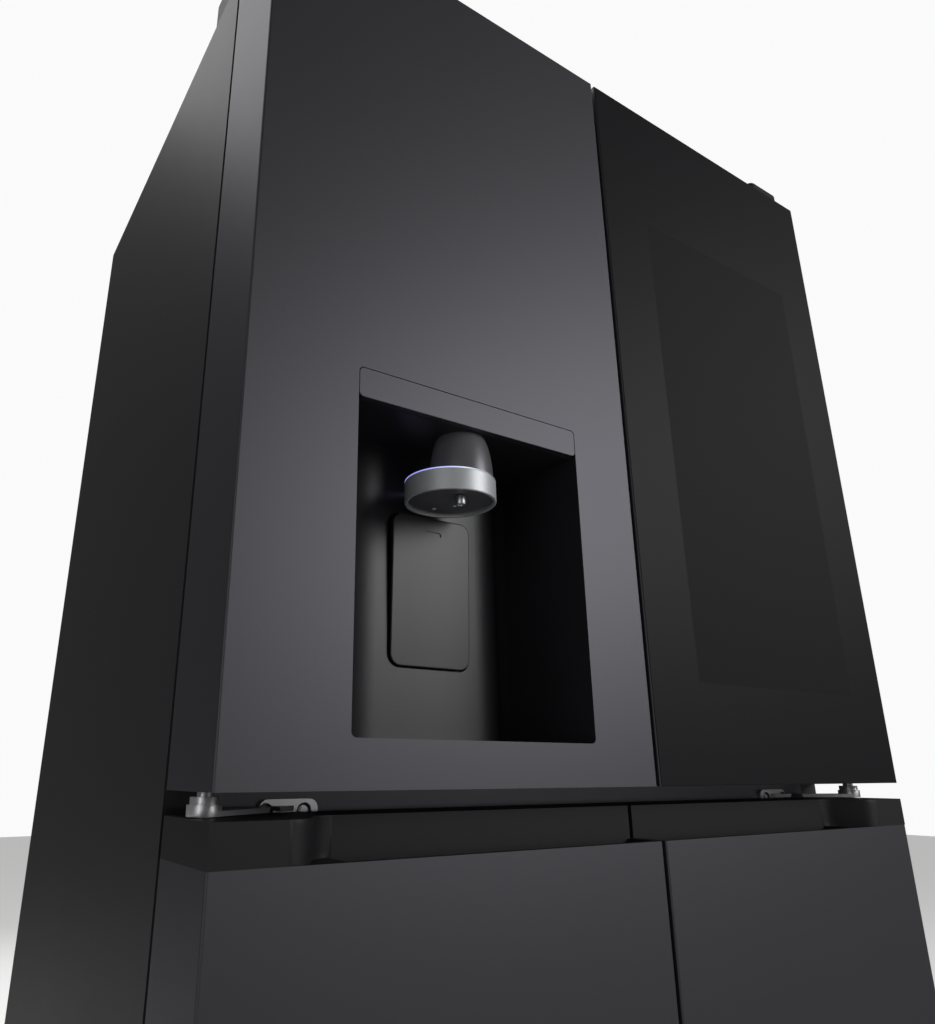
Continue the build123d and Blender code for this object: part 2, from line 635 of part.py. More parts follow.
def right_door_glass():
    """Dark glass sheet that covers the whole front of the right door."""
    with BuildPart() as pane:
        x = off(1, DOOR_EDGE + DOOR_SHEET + 0.2, HALF - DOOR_SHEET - 0.2)
        span(x, (FRONT, FRONT + 4), inset((UPPER_BOTTOM, UPPER_TOP), 0.2))
        fillet(pane.edges().group_by(Axis.Y)[0], 0.8)
    write(pane, "right_door_glass")


def gasket(side, name, z):
    """Magnetic door seal: a soft frame on the back of a door."""
    outer = off(side, DOOR_EDGE + 8, HALF - PIVOT_INSET - 2)
    y = (DOOR_BACK, CASE_FRONT - 0.3)
    with BuildPart() as seal:
        span(outer, y, z)
        span(inset(outer, GASKET_WIDTH), (y[0] - 1, y[1] + 1), inset(z, GASKET_WIDTH), Mode.SUBTRACT)
        for edge_x in (inset(outer, 6),):
            groove = (DOOR_BACK + 2, DOOR_BACK + 4)
            span(inset(outer, -1), groove, inset(z, -1), Mode.SUBTRACT)
            span(inset(outer, 2), groove, inset(z, 2))
            span(inset(outer, GASKET_WIDTH - 2), groove, inset(z, GASKET_WIDTH - 2), Mode.SUBTRACT)
    write(seal, name)


def door_bins(side, name, near, rows):
    """Open door bins, each row given by its lower and upper level and how far back it reaches."""
    x = off(side, near + DYKE_WALL + 0.5, DYKE_SIDE - DYKE_WALL - 0.5)
    with BuildPart() as bins:
        for low, high, back in rows:
            span(x, (DOOR_BACK, back), (low, high))
        fillet(bins.edges().filter_by(Axis.Z).group_by(Axis.Y)[-1], 12)
        for low, high, back in rows:
            span(inset(x, 2.5), (DOOR_BACK + 2.5, back - 2.5), (low + 2.5, high + 1), Mode.SUBTRACT)
    write(bins, name)


# ---------------------------------------------------------------- water dispenser
def dispenser_housing():
    """Moulded niche of the dispenser, with the pocket and bores that carry the paddle."""
    strip0 = NICHE_X0 + STRIP_WIDTH
    strip1 = NICHE_X1 - STRIP_WIDTH
    flat0 = strip0 + CURVE_WIDTH
    flat1 = strip1 - CURVE_WIDTH
    with BuildPart() as tub:
        span(HOUSING_X, (FRONT + DOOR_SHEET, HOUSING_BACK), HOUSING_Z)
        with BuildSketch(Plane.XY.offset(NICHE_Z0)):
            with BuildLine():
                Polyline((flat0, PAD_WALL), (flat1, PAD_WALL))
                Spline((flat1, PAD_WALL), (strip1, NICHE_BACK), tangents=((1, 0), (0.35, 1)))
                Polyline(
                    (strip1, NICHE_BACK),
                    (NICHE_X1, NICHE_BACK),
                    (NICHE_X1, FRONT),
                    (NICHE_X0, FRONT),
                    (NICHE_X0, NICHE_BACK),
                    (strip0, NICHE_BACK),
                )
                Spline((strip0, NICHE_BACK), (flat0, PAD_WALL), tangents=((0.35, -1), (1, 0)))
            make_face()
        extrude(amount=BEZEL_Z - NICHE_Z0, mode=Mode.SUBTRACT)
        bezel_y = (FRONT, FRONT + DOOR_SHEET + 6)
        span((NICHE_X0, NICHE_X1), bezel_y, (BEZEL_Z - 1, NICHE_Z1), Mode.SUBTRACT)
        middle = PADDLE_X
        with BuildSketch(Plane.XZ.offset(-PAD_WALL + 1)):
            with Locations((middle, UPPER_BOTTOM + PADDLE_LOW + PADDLE_HEIGHT / 2)):
                RectangleRounded(PADDLE_WIDTH + 3, PADDLE_HEIGHT + 3, 13.5)
        extrude(amount=-(PADDLE_RECESS + 1), mode=Mode.SUBTRACT)
        pocket_z = (PADDLE_AXIS_Z - 3.5, PADDLE_AXIS_Z + 8)
        span((middle - 36, middle + 36), (PAD_WALL - 1, PADDLE_AXIS_Y + 7), pocket_z, Mode.SUBTRACT)
        bores = (middle - 40.5, middle + 40.5)
        rod_along_x(PADDLE_AXIS_Y, PADDLE_AXIS_Z, bores, 2.5 + 0.08, Mode.SUBTRACT)
        span((middle - 50, middle + 50), (PAD_WALL + 12, HOUSING_BACK + 1), (995, 1110), Mode.SUBTRACT)
    write(tub, "dispenser_housing")


def dispenser_bezel():
    """Metal strip across the top of the niche, flush with the door."""
    with BuildPart() as strip:
        with BuildSketch(Plane.XZ.offset(-FRONT)):
            with Locations((NICHE_X, (BEZEL_Z + NICHE_Z1) / 2)):
                RectangleRounded(NICHE_WIDTH - 0.8, BEZEL_HEIGHT - 0.8, 5)
        extrude(amount=-(DOOR_SHEET + 5.6))
        fillet(strip.edges().group_by(Axis.Y)[0], 0.6)
    write(strip, "dispenser_bezel")


def nozzle():
    """Neck, silver ring and spout that hang from the ceiling of the niche."""
    top = NOZZLE_Z + NOZZLE_HEIGHT
    core = NOZZLE_RADIUS - 3.5
    with BuildPart() as face:
        with BuildSketch(Plane.XZ):
            with BuildLine():
                Polyline(
                    (0, NOZZLE_Z - 0.5),
                    (18, NOZZLE_Z - 0.2),
                    (32, NOZZLE_Z + 1),
                    (core - 2, NOZZLE_Z + 2.6),
                    (core, NOZZLE_Z + 4),
                    (core, top),
                    (0, top),
                    close=True,
                )
            make_face()
        revolve(axis=Axis.Z)
    with BuildPart() as column:
        with BuildSketch(Plane.XZ):
            with BuildLine():
                Polyline((0, top), (NECK_RADIUS - 1.5, top), (NECK_RADIUS, top + 1.5))
                Spline(
                    (NECK_RADIUS, top + 1.5),
                    (NECK_RADIUS - 1.5, top + 22),
                    (NECK_TOP_RADIUS, BEZEL_Z),
                    tangents=((0, 1), (-0.45, 1)),
                )
                Polyline((NECK_TOP_RADIUS, BEZEL_Z), (0, BEZEL_Z), (0, top))
            make_face()
        revolve(axis=Axis.Z)
    with BuildPart() as neck:
        add(face.part.moved(Location((NOZZLE_X, NOZZLE_Y, 0))))
        add(column.part.moved(Location((NECK_X, NECK_Y, 0))))
    write(neck, "nozzle_neck")
    with BuildPart() as ring:
        with BuildSketch(Plane.XY.offset(NOZZLE_Z)):
            with Locations((NOZZLE_X, NOZZLE_Y)):
                Circle(NOZZLE_RADIUS)
                Circle(core, mode=Mode.SUBTRACT)
        extrude(amount=NOZZLE_HEIGHT)
        fillet(ring.edges().filter_by(GeomType.CIRCLE), 1.2)
    write(ring, "nozzle_ring")
    with BuildPart() as spout:
        x, y = NOZZLE_X - 6, NOZZLE_Y - 25
        rod(x, y, (NOZZLE_Z - 9, NOZZLE_Z - 0.5), 5)
        rod(x, y, (NOZZLE_Z - 10, NOZZLE_Z - 4), 3.4, Mode.SUBTRACT)
        with BuildPart(mode=Mode.PRIVATE) as face_cut:
            add(neck.part)
        add(face_cut.part, mode=Mode.SUBTRACT)
    write(spout, "nozzle_spout")


def dispenser_paddle():
    """Press paddle: a tilted pad with a small slot, on a barrel with a stub at each end."""
    middle = PADDLE_X
    tilted = Plane(
        origin=(middle, PAD_WALL + PADDLE_SINK, UPPER_BOTTOM + PADDLE_LOW),
        x_dir=(1, 0, 0),
        z_dir=(0, -cos(radians(PADDLE_TILT)), -sin(radians(PADDLE_TILT))),
    )
    with BuildPart() as pad:
        with BuildSketch(tilted):
            with Locations((0, PADDLE_HEIGHT / 2)):
                RectangleRounded(PADDLE_WIDTH, PADDLE_HEIGHT, 12)
        extrude(amount=PADDLE_THICK)
        fillet(pad.faces().sort_by(Axis.Y)[0].edges(), 1.5)
        with BuildSketch(tilted.offset(PADDLE_THICK - 1)):
            with Locations((0, PADDLE_HEIGHT - 17)):
                SlotOverall(22, 5)
        extrude(amount=4, mode=Mode.SUBTRACT)
        span((middle - 30, middle + 30), (PAD_WALL, PADDLE_AXIS_Y), PADDLE_EAR_Z)
        rod_along_x(PADDLE_AXIS_Y, PADDLE_AXIS_Z, (middle - 35.5, middle + 35.5), 3.2)
        rod_along_x(PADDLE_AXIS_Y, PADDLE_AXIS_Z, (middle - 40, middle + 40), 2.5)
    write(pad, "dispenser_paddle")


def mullion_bar():
    """Folding centre bar on the left door, shown folded back along the door."""
    low, high = DIVIDER_TOP + 6 + 12, INNER_TOP - 6 - 12
    half = MULLION_THICK / 2
    with BuildPart() as bar:
        x = (MULLION_X - half, MULLION_X + half)
        span(x, (MULLION_Y - half, MULLION_Y - half + MULLION_WIDTH), (low, high))
        fillet(bar.edges().filter_by(Axis.Z).group_by(Axis.Y)[0], 8)
        fillet(bar.edges().filter_by(Axis.Z).group_by(Axis.Y)[-1], 4)
        rod(MULLION_X, MULLION_Y, (low - 1, low + 15), 4.08, Mode.SUBTRACT)
        rod(MULLION_X, MULLION_Y, (high - 15, high + 1), 4.08, Mode.SUBTRACT)
    write(bar, "mullion_bar")


# ---------------------------------------------------------------- lower doors
def lower_skin(side, name):
    """Folded skin of a lower door, open at the top where the grip cap sits."""
    z = (LOWER_BOTTOM, PANEL_TOP)
    with BuildPart() as skin:
        span(off(side, DOOR_EDGE, HALF), (FRONT, DOOR_BACK), z)
        fillet(skin.edges().filter_by(Axis.Z).group_by(Axis.Y)[0], 2)
        far = off(side, DOOR_EDGE + DOOR_SHEET, HALF - DOOR_SHEET)
        inner_y = (FRONT + DOOR_SHEET, DOOR_BACK)
        span(far, inner_y, (LOWER_BOTTOM + DOOR_SHEET, PANEL_TOP), Mode.SUBTRACT)
        hole_z = (LOWER_BOTTOM - 1, LOWER_BOTTOM + 2)
        rod(side * PIVOT_X, PIVOT_Y, hole_z, PIN_RADIUS + PIN_FIT, Mode.SUBTRACT)
    write(skin, name)


def grip_cap(side, name):
    """Top cap of a lower door, with the curved grip recess and the finger channel behind the lip."""
    with BuildPart() as cap:
        x = off(side, DOOR_EDGE + DOOR_SHEET, HALF - DOOR_SHEET)
        y = (FRONT + DOOR_SHEET, DOOR_BACK - DOOR_LINER)
        span(x, y, (GRIP_FLOOR - 4, PANEL_TOP))
        with BuildSketch(Plane.XY.offset(PANEL_TOP)):
            with BuildLine():
                Polyline(
                    (side * (HALF - GRIP_FULL), FRONT + GRIP_DEPTH),
                    (side * DOOR_EDGE, FRONT + GRIP_DEPTH),
                    (side * DOOR_EDGE, DOOR_BACK),
                    (side * HALF, DOOR_BACK),
                    (side * HALF, FRONT),
                    (side * (HALF - GRIP_START), FRONT),
                )
                Spline(
                    (side * (HALF - GRIP_START), FRONT),
                    (side * (HALF - GRIP_FULL), FRONT + GRIP_DEPTH),
                    tangents=((-side, 0), (-side, 0)),
                )
            make_face()
        extrude(amount=GRIP_HEIGHT)
        channel_x = off(side, DOOR_EDGE + DOOR_SHEET + 2, HALF - GRIP_FULL + 4)
        channel_y = (FRONT + LIP, FRONT + GRIP_DEPTH)
        span(channel_x, channel_y, (GRIP_FLOOR, PANEL_TOP + 0.5), Mode.SUBTRACT)
        bore = (LOWER_TOP - PIN_LENGTH - 1, LOWER_TOP + 1)
        rod(side * PIVOT_X, PIVOT_Y, bore, PIN_RADIUS + PIN_FIT, Mode.SUBTRACT)
    write(cap, name)


def lower_core(side, name):
    """Foamed inner panel of a lower door: the body, the raised field and the bush for the bottom pin."""
    x = off(side, DOOR_EDGE + DOOR_SHEET, HALF - DOOR_SHEET)
    y = (FRONT + DOOR_SHEET, DOOR_BACK - DOOR_LINER)
    bush_x = off(side, PIVOT_X - 14, HALF - DOOR_SHEET)
    bush_z = (LOWER_BOTTOM + DOOR_SHEET, LOWER_BOTTOM + 25)
    top = GRIP_FLOOR - 4
    solids = []
    boxes = [
        (x, y, (bush_z[1], top)),
        (off(side, DOOR_EDGE + DOOR_SHEET, PIVOT_X - 14), y, bush_z),
        (x, (y[1], DOOR_BACK), (LOWER_BOTTOM + DOOR_SHEET, PANEL_TOP)),
        (off(side, POST_HALF + 12, DYKE_SIDE), (DOOR_BACK, DYKE_BACK), (FREEZER_FLOOR + 8, DIVIDER_BOTTOM - 8)),
    ]
    for bx, by, bz in boxes:
        with BuildPart() as block:
            span(bx, by, bz)
        solids.append(block.part.solid())
    with BuildPart() as bush:
        span(bush_x, y, bush_z)
        bore = (LOWER_BOTTOM, LOWER_BOTTOM + PIN_LENGTH + 1)
        rod(side * PIVOT_X, PIVOT_Y, bore, PIN_RADIUS + PIN_FIT, Mode.SUBTRACT)
    solids.append(bush.part.solid())
    group = Compound(label=name, children=solids)
    export_step(group, f"parts/{name}.step")


LEFT_NEAR = -MULLION_X + 18
RIGHT_NEAR = 40.0
LEFT_FIELD = 1240.0
RIGHT_FIELD = 900.0
NOZZLE_X = -HALF + NOZZLE_INSET
NECK_X = -HALF + NECK_INSET
NECK_Y = FRONT + NECK_DEPTH
PADDLE_X = NICHE_X + 1.5
PADDLE_AXIS_Y = PAD_WALL + 8
PADDLE_AXIS_Z = UPPER_BOTTOM + 115
PADDLE_EAR_Z = (PADDLE_AXIS_Z - 2.5, PADDLE_AXIS_Z + 3)

cabinet_wrap()
back_panel()
machine_cover()
cabinet_insulation()
fridge_liner()
freezer_liner()
centre_rail()
base_tray()
kick_grille()
top_hinges()
top_hinge_covers()
middle_hinges()
bottom_hinges()
hinge_screws()
compressor()
condenser_coil()
fan("condenser_fan", True, 58, (18, 250, 125))
fan("evaporator_fan", False, 46, (-212, 270, 690))
evaporator()
evaporator_covers()
shelf_glass()
shelf_trims()
for hand, word in ((-1, "left"), (1, "right")):
    leveling_foot(hand, f"leveling_foot_{word}")
    rear_roller(hand, f"rear_roller_{word}")
    drawer(f"crisper_{word}", off(hand, 8, 386), (-92, 270), (884, 1062))
    drawer(f"upper_freezer_drawer_{word}", off(hand, 30, 395), (-140, 225), (458.5, 755))
    drawer(f"lower_freezer_drawer_{word}", off(hand, 30, 395), (-140, 65), (112.5, 440))
    upper_skin(hand, f"{word}_door_skin")
    end_caps(hand, f"{word}_door_end_caps")
    gasket(hand, f"{word}_door_gasket", (UPPER_BOTTOM + 14, UPPER_TOP - 22))
    lower_skin(hand, f"lower_{word}_door_skin")
    grip_cap(hand, f"lower_{word}_door_grip_cap")
    lower_core(hand, f"lower_{word}_door_core")
    gasket(hand, f"lower_{word}_door_gasket", (LOWER_BOTTOM + 14, PANEL_TOP + 4))
upper_liner(-1, "left_door_liner", LEFT_NEAR, LEFT_FIELD)
upper_liner(1, "right_door_liner", RIGHT_NEAR, RIGHT_FIELD)
left_door_insulation()
right_door_insulation()
right_door_glass()
left_rows = [(1246, 1330, BIN_BACK), (1380, 1464, BIN_BACK), (1515, 1599, BIN_BACK)]
right_rows = [
    (906, 1000, LOW_BIN_BACK),
    (1120, 1204, BIN_BACK),
    (1300, 1384, BIN_BACK),
    (1480, 1564, BIN_BACK),
]
door_bins(-1, "left_door_bins", LEFT_NEAR, left_rows)
door_bins(1, "right_door_bins", RIGHT_NEAR, right_rows)
dispenser_housing()
dispenser_bezel()
nozzle()
dispenser_paddle()
mullion_bar()
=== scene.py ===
"""Surfaces, small parts, lights and camera of a four-door french door refrigerator.

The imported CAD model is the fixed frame. Lengths are in metres, +Z is up and the doors face -Y.
"""

import math

import bmesh
import bpy
from bpy.props import FloatProperty, FloatVectorProperty, PointerProperty
from mathutils import Matrix, Vector


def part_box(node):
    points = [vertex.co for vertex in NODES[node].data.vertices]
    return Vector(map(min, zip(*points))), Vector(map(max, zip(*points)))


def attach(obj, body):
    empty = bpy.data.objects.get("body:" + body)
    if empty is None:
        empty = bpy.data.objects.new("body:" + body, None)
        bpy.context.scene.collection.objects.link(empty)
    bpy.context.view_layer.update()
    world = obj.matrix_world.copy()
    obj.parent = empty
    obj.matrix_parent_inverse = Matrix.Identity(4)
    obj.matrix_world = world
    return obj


bl_info = {
    "name": "French Door Refrigerator",
    "version": (1, 0, 0),
    "blender": (4, 5, 0),
    "location": "3D View > Sidebar > Refrigerator",
    "description": "Finishes a french door refrigerator built round its CAD frame",
    "category": "Object",
}

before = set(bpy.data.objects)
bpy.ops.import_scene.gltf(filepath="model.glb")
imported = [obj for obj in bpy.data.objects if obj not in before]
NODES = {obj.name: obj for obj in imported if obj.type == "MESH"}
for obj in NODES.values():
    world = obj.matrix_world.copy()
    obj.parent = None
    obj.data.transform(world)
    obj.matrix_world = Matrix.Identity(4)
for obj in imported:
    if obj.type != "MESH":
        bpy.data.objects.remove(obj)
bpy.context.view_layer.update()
# materials already made, by name
MADE = {}
# middles of the two sensor dots under the nozzle, in X and Y
DOT_PLACES = ((-0.2250, -0.3033), (-0.2130, -0.3220))
BAND_STEPS = 128
# underside of the fresh food compartment's ceiling, and the lamp's front and back edges
CEILING = 1.688
LAMP_Y = (-0.110, -0.040)


# ---------------------------------------------------------------- settings
class FinishSettings(bpy.types.PropertyGroup):
    """Colours and gloss of the main surfaces."""

    steel_colour: FloatVectorProperty(
        name="Coated steel", description="Colour of the coated door skins",
        subtype="COLOR", size=3, default=(0.098, 0.096, 0.107), min=0, max=1,
    )
    steel_roughness: FloatProperty(
        name="Steel roughness", description="How far the door skins spread a reflection",
        subtype="FACTOR", default=0.50, min=0, max=1,
    )
    cabinet_colour: FloatVectorProperty(
        name="Cabinet paint", description="Colour of the painted sides, top and back",
        subtype="COLOR", size=3, default=(0.014, 0.0136, 0.0156), min=0, max=1,
    )
    liner_colour: FloatVectorProperty(
        name="Liner", description="Colour of the plastic inside walls",
        subtype="COLOR", size=3, default=(0.80, 0.815, 0.83), min=0, max=1,
    )
    trim_colour: FloatVectorProperty(
        name="Bright trim", description="Colour of the satin silver parts",
        subtype="COLOR", size=3, default=(0.62, 0.64, 0.66), min=0, max=1,
    )


class DispenserSettings(bpy.types.PropertyGroup):
    """Small parts of the water dispenser."""

    # the band round the nozzle glows as a painted highlight
    painted_band_height: FloatProperty(
        name="Painted band height", description="Height of the glowing band of painted highlight round the nozzle",
        unit="LENGTH", default=0.0014, min=0.0005, max=0.004,
    )
    painted_band_glow: FloatProperty(
        name="Painted band strength", description="Brightness of the painted highlight band",
        default=1.1, min=0, max=20,
    )
    dot_radius: FloatProperty(
        name="Sensor dot radius", description="Radius of the sensor dots under the nozzle",
        unit="LENGTH", default=0.0021, min=0.0005, max=0.004,
    )


class InsideSettings(bpy.types.PropertyGroup):
    """Small parts inside the compartments."""

    strip_height: FloatProperty(
        name="Pull strip height", description="Height of the pull strip on each drawer front",
        unit="LENGTH", default=0.016, min=0.006, max=0.03,
    )
    strip_depth: FloatProperty(
        name="Pull strip depth",
        description="How far the pull strip stands out from the drawer front",
        unit="LENGTH", default=0.004, min=0.001, max=0.008,
    )
    lamp_width: FloatProperty(
        name="Ceiling lamp width", description="Width of the ceiling lamp lens",
        unit="LENGTH", default=0.26, min=0.1, max=0.5,
    )
    lamp_power: FloatProperty(
        name="Ceiling lamp strength", description="Brightness of the ceiling lamp lens",
        default=0.12, min=0, max=20,
    )


class StageSettings(bpy.types.PropertyGroup):
    """Camera and lights."""

    eye: FloatVectorProperty(
        name="Camera place", description="Where the camera stands",
        subtype="XYZ", unit="LENGTH", size=3, default=(-0.6501, -0.9157, 0.8658),
    )
    heading: FloatProperty(
        name="Heading", description="Turn of the view to the right of straight ahead",
        subtype="ANGLE", default=math.radians(32.9),
    )
    tilt: FloatProperty(
        name="Tilt", description="Upward tilt of the view",
        subtype="ANGLE", default=math.radians(18.3),
    )
    lens: FloatProperty(
        name="Lens", description="Focal length in millimetres on a 36 mm sensor",
        default=27.36, min=10, max=200,
    )
    key_power: FloatProperty(
        name="Key light", description="Power of the main soft light in watts",
        default=9.2, min=0, max=2000,
    )
    strip_power: FloatProperty(
        name="Low strip light",
        description="Power of the low strip light that reaches the hinges in watts",
        default=1.7, min=0, max=2000,
    )
    fill_power: FloatProperty(
        name="Fill light", description="Power of the soft light on the hinge side in watts",
        default=12.0, min=0, max=2000,
    )
    back_power: FloatProperty(
        name="Back light", description="Power of the soft light behind the cabinet in watts",
        default=60.0, min=0, max=2000,
    )
    top_power: FloatProperty(
        name="Top light", description="Power of the wide soft light over the cabinet in watts",
        default=85.0, min=0, max=2000,
    )
    room_level: FloatProperty(
        name="Room level", description="Brightness of the even light from all round",
        default=0.09, min=0, max=5,
    )


# ---------------------------------------------------------------- shared surface effects
def effect(name, sockets_in, sockets_out):
    """A new node group with the given named inputs and outputs."""
    group = bpy.data.node_groups.new(name, "ShaderNodeTree")
    for label, kind, value in sockets_in:
        socket = group.interface.new_socket(label, in_out="INPUT", socket_type=kind)
        socket.default_value = value
    for label, kind in sockets_out:
        group.interface.new_socket(label, in_out="OUTPUT", socket_type=kind)
    return group, group.nodes.new("NodeGroupInput"), group.nodes.new("NodeGroupOutput")


def uneven_gloss():
    """Roughness that drifts a little over the surface, as handling and cleaning leave it."""
    group, given, result = effect(
        "Uneven gloss",
        [
            ("Roughness", "NodeSocketFloat", 0.4),
            ("Spread", "NodeSocketFloat", 0.05),
            ("Scale", "NodeSocketFloat", 6.0),
        ],
        [("Roughness", "NodeSocketFloat")],
    )
    place = group.nodes.new("ShaderNodeTexCoord")
    noise = group.nodes.new("ShaderNodeTexNoise")
    noise.inputs["Detail"].default_value = 5.0
    centred = group.nodes.new("ShaderNodeMath")
    centred.operation = "SUBTRACT"
    centred.inputs[1].default_value = 0.5
    spread = group.nodes.new("ShaderNodeMath")
    spread.operation = "MULTIPLY_ADD"
    link = group.links.new
    link(place.outputs["Object"], noise.inputs["Vector"])
    link(given.outputs["Scale"], noise.inputs["Scale"])
    link(noise.outputs["Fac"], centred.inputs[0])
    link(centred.outputs[0], spread.inputs[0])
    link(given.outputs["Spread"], spread.inputs[1])
    link(given.outputs["Roughness"], spread.inputs[2])
    link(spread.outputs[0], result.inputs["Roughness"])
    return group


def tone_drift():
    """A colour that drifts lighter and darker in soft patches."""
    group, given, result = effect(
        "Tone drift",
        [
            ("Colour", "NodeSocketColor", (0.5, 0.5, 0.5, 1)),
            ("Drift", "NodeSocketFloat", 0.1),
            ("Scale", "NodeSocketFloat", 3.0),
        ],
        [("Colour", "NodeSocketColor")],
    )
    place = group.nodes.new("ShaderNodeTexCoord")
    noise = group.nodes.new("ShaderNodeTexNoise")
    noise.inputs["Detail"].default_value = 4.0
    centred = group.nodes.new("ShaderNodeMath")
    centred.operation = "SUBTRACT"
    centred.inputs[1].default_value = 0.5
    level = group.nodes.new("ShaderNodeMath")
    level.operation = "MULTIPLY_ADD"
    level.inputs[2].default_value = 1.0
    shade = group.nodes.new("ShaderNodeVectorMath")
    shade.operation = "SCALE"
    link = group.links.new
    link(place.outputs["Object"], noise.inputs["Vector"])
    link(given.outputs["Scale"], noise.inputs["Scale"])
    link(noise.outputs["Fac"], centred.inputs[0])
    link(centred.outputs[0], level.inputs[0])
    link(given.outputs["Drift"], level.inputs[1])
    link(given.outputs["Colour"], shade.inputs[0])
    link(level.outputs[0], shade.inputs["Scale"])
    link(shade.outputs[0], result.inputs["Colour"])
    return group


def surface_grain():
    """Height of a fine grain, drawn out along X, Y or Z by its stretch."""
    group, given, result = effect(
        "Surface grain",
        [
            ("Scale", "NodeSocketFloat", 900.0),
            ("Stretch", "NodeSocketVector", (1.0, 1.0, 1.0)),
        ],
        [("Height", "NodeSocketFloat")],
    )
    place = group.nodes.new("ShaderNodeTexCoord")
    stretch = group.nodes.new("ShaderNodeVectorMath")
    stretch.operation = "MULTIPLY"
    noise = group.nodes.new("ShaderNodeTexNoise")
    noise.inputs["Detail"].default_value = 3.0
    noise.inputs["Roughness"].default_value = 0.6
    link = group.links.new
    link(place.outputs["Object"], stretch.inputs[0])
    link(given.outputs["Stretch"], stretch.inputs[1])
    link(stretch.outputs[0], noise.inputs["Vector"])
    link(given.outputs["Scale"], noise.inputs["Scale"])
    link(noise.outputs["Fac"], result.inputs["Height"])
    return group


def painted_highlight_arc():
    """Colour of a glowing painted highlight on the nozzle ring's rim: it fades along X from cool
    blue through white to dark, bright on the left and dark on the right.
    """
    group, given, result = effect(
        "Painted highlight arc",
        [
            ("Start", "NodeSocketFloat", -0.266),
            ("End", "NodeSocketFloat", -0.184),
        ],
        [("Colour", "NodeSocketColor")],
    )
    place = group.nodes.new("ShaderNodeTexCoord")
    split = group.nodes.new("ShaderNodeSeparateXYZ")
    along = group.nodes.new("ShaderNodeMapRange")
    ramp = group.nodes.new("ShaderNodeValToRGB")
    stops = ramp.color_ramp.elements
    # painted highlight: cool blue at the left end, white in the middle, dark towards the right
    stops[0].position, stops[0].color = 0.0, (0.30, 0.32, 0.95, 1)
    stops[1].position, stops[1].color = 0.85, (0.02, 0.02, 0.025, 1)
    middle = stops.new(0.40)
    middle.color = (0.72, 0.76, 0.92, 1)
    link = group.links.new
    link(place.outputs["Object"], split.inputs[0])
    link(split.outputs["X"], along.inputs["Value"])
    link(given.outputs["Start"], along.inputs["From Min"])
    link(given.outputs["End"], along.inputs["From Max"])
    link(along.outputs["Result"], ramp.inputs["Fac"])
    link(ramp.outputs["Color"], result.inputs["Colour"])
    return group


def settled_dust():
    """Colour with a thin, patchy layer of dust on faces that look up."""
    group, given, result = effect(
        "Settled dust",
        [
            ("Colour", "NodeSocketColor", (0.1, 0.1, 0.1, 1)),
            ("Dust", "NodeSocketColor", (0.35, 0.33, 0.30, 1)),
            ("Amount", "NodeSocketFloat", 0.2),
        ],
        [("Colour", "NodeSocketColor"), ("Mask", "NodeSocketFloat")],
    )
    facing = group.nodes.new("ShaderNodeNewGeometry")
    split = group.nodes.new("ShaderNodeSeparateXYZ")
    upward = group.nodes.new("ShaderNodeMapRange")
    upward.inputs["From Min"].default_value = 0.6
    upward.inputs["From Max"].default_value = 1.0
    place = group.nodes.new("ShaderNodeTexCoord")
    noise = group.nodes.new("ShaderNodeTexNoise")
    noise.inputs["Scale"].default_value = 9.0
    noise.inputs["Detail"].default_value = 6.0
    patchy = group.nodes.new("ShaderNodeMath")
    patchy.operation = "MULTIPLY"
    amount = group.nodes.new("ShaderNodeMath")
    amount.operation = "MULTIPLY"
    mix = group.nodes.new("ShaderNodeMix")
    mix.data_type = "RGBA"
    link = group.links.new
    link(facing.outputs["Normal"], split.inputs[0])
    link(split.outputs["Z"], upward.inputs["Value"])
    link(place.outputs["Object"], noise.inputs["Vector"])
    link(upward.outputs["Result"], patchy.inputs[0])
    link(noise.outputs["Fac"], patchy.inputs[1])
    link(patchy.outputs[0], amount.inputs[0])
    link(given.outputs["Amount"], amount.inputs[1])
    link(amount.outputs[0], mix.inputs["Factor"])
    link(given.outputs["Colour"], mix.inputs["A"])
    link(given.outputs["Dust"], mix.inputs["B"])
    link(mix.outputs["Result"], result.inputs["Colour"])
    link(amount.outputs[0], result.inputs["Mask"])
    return group


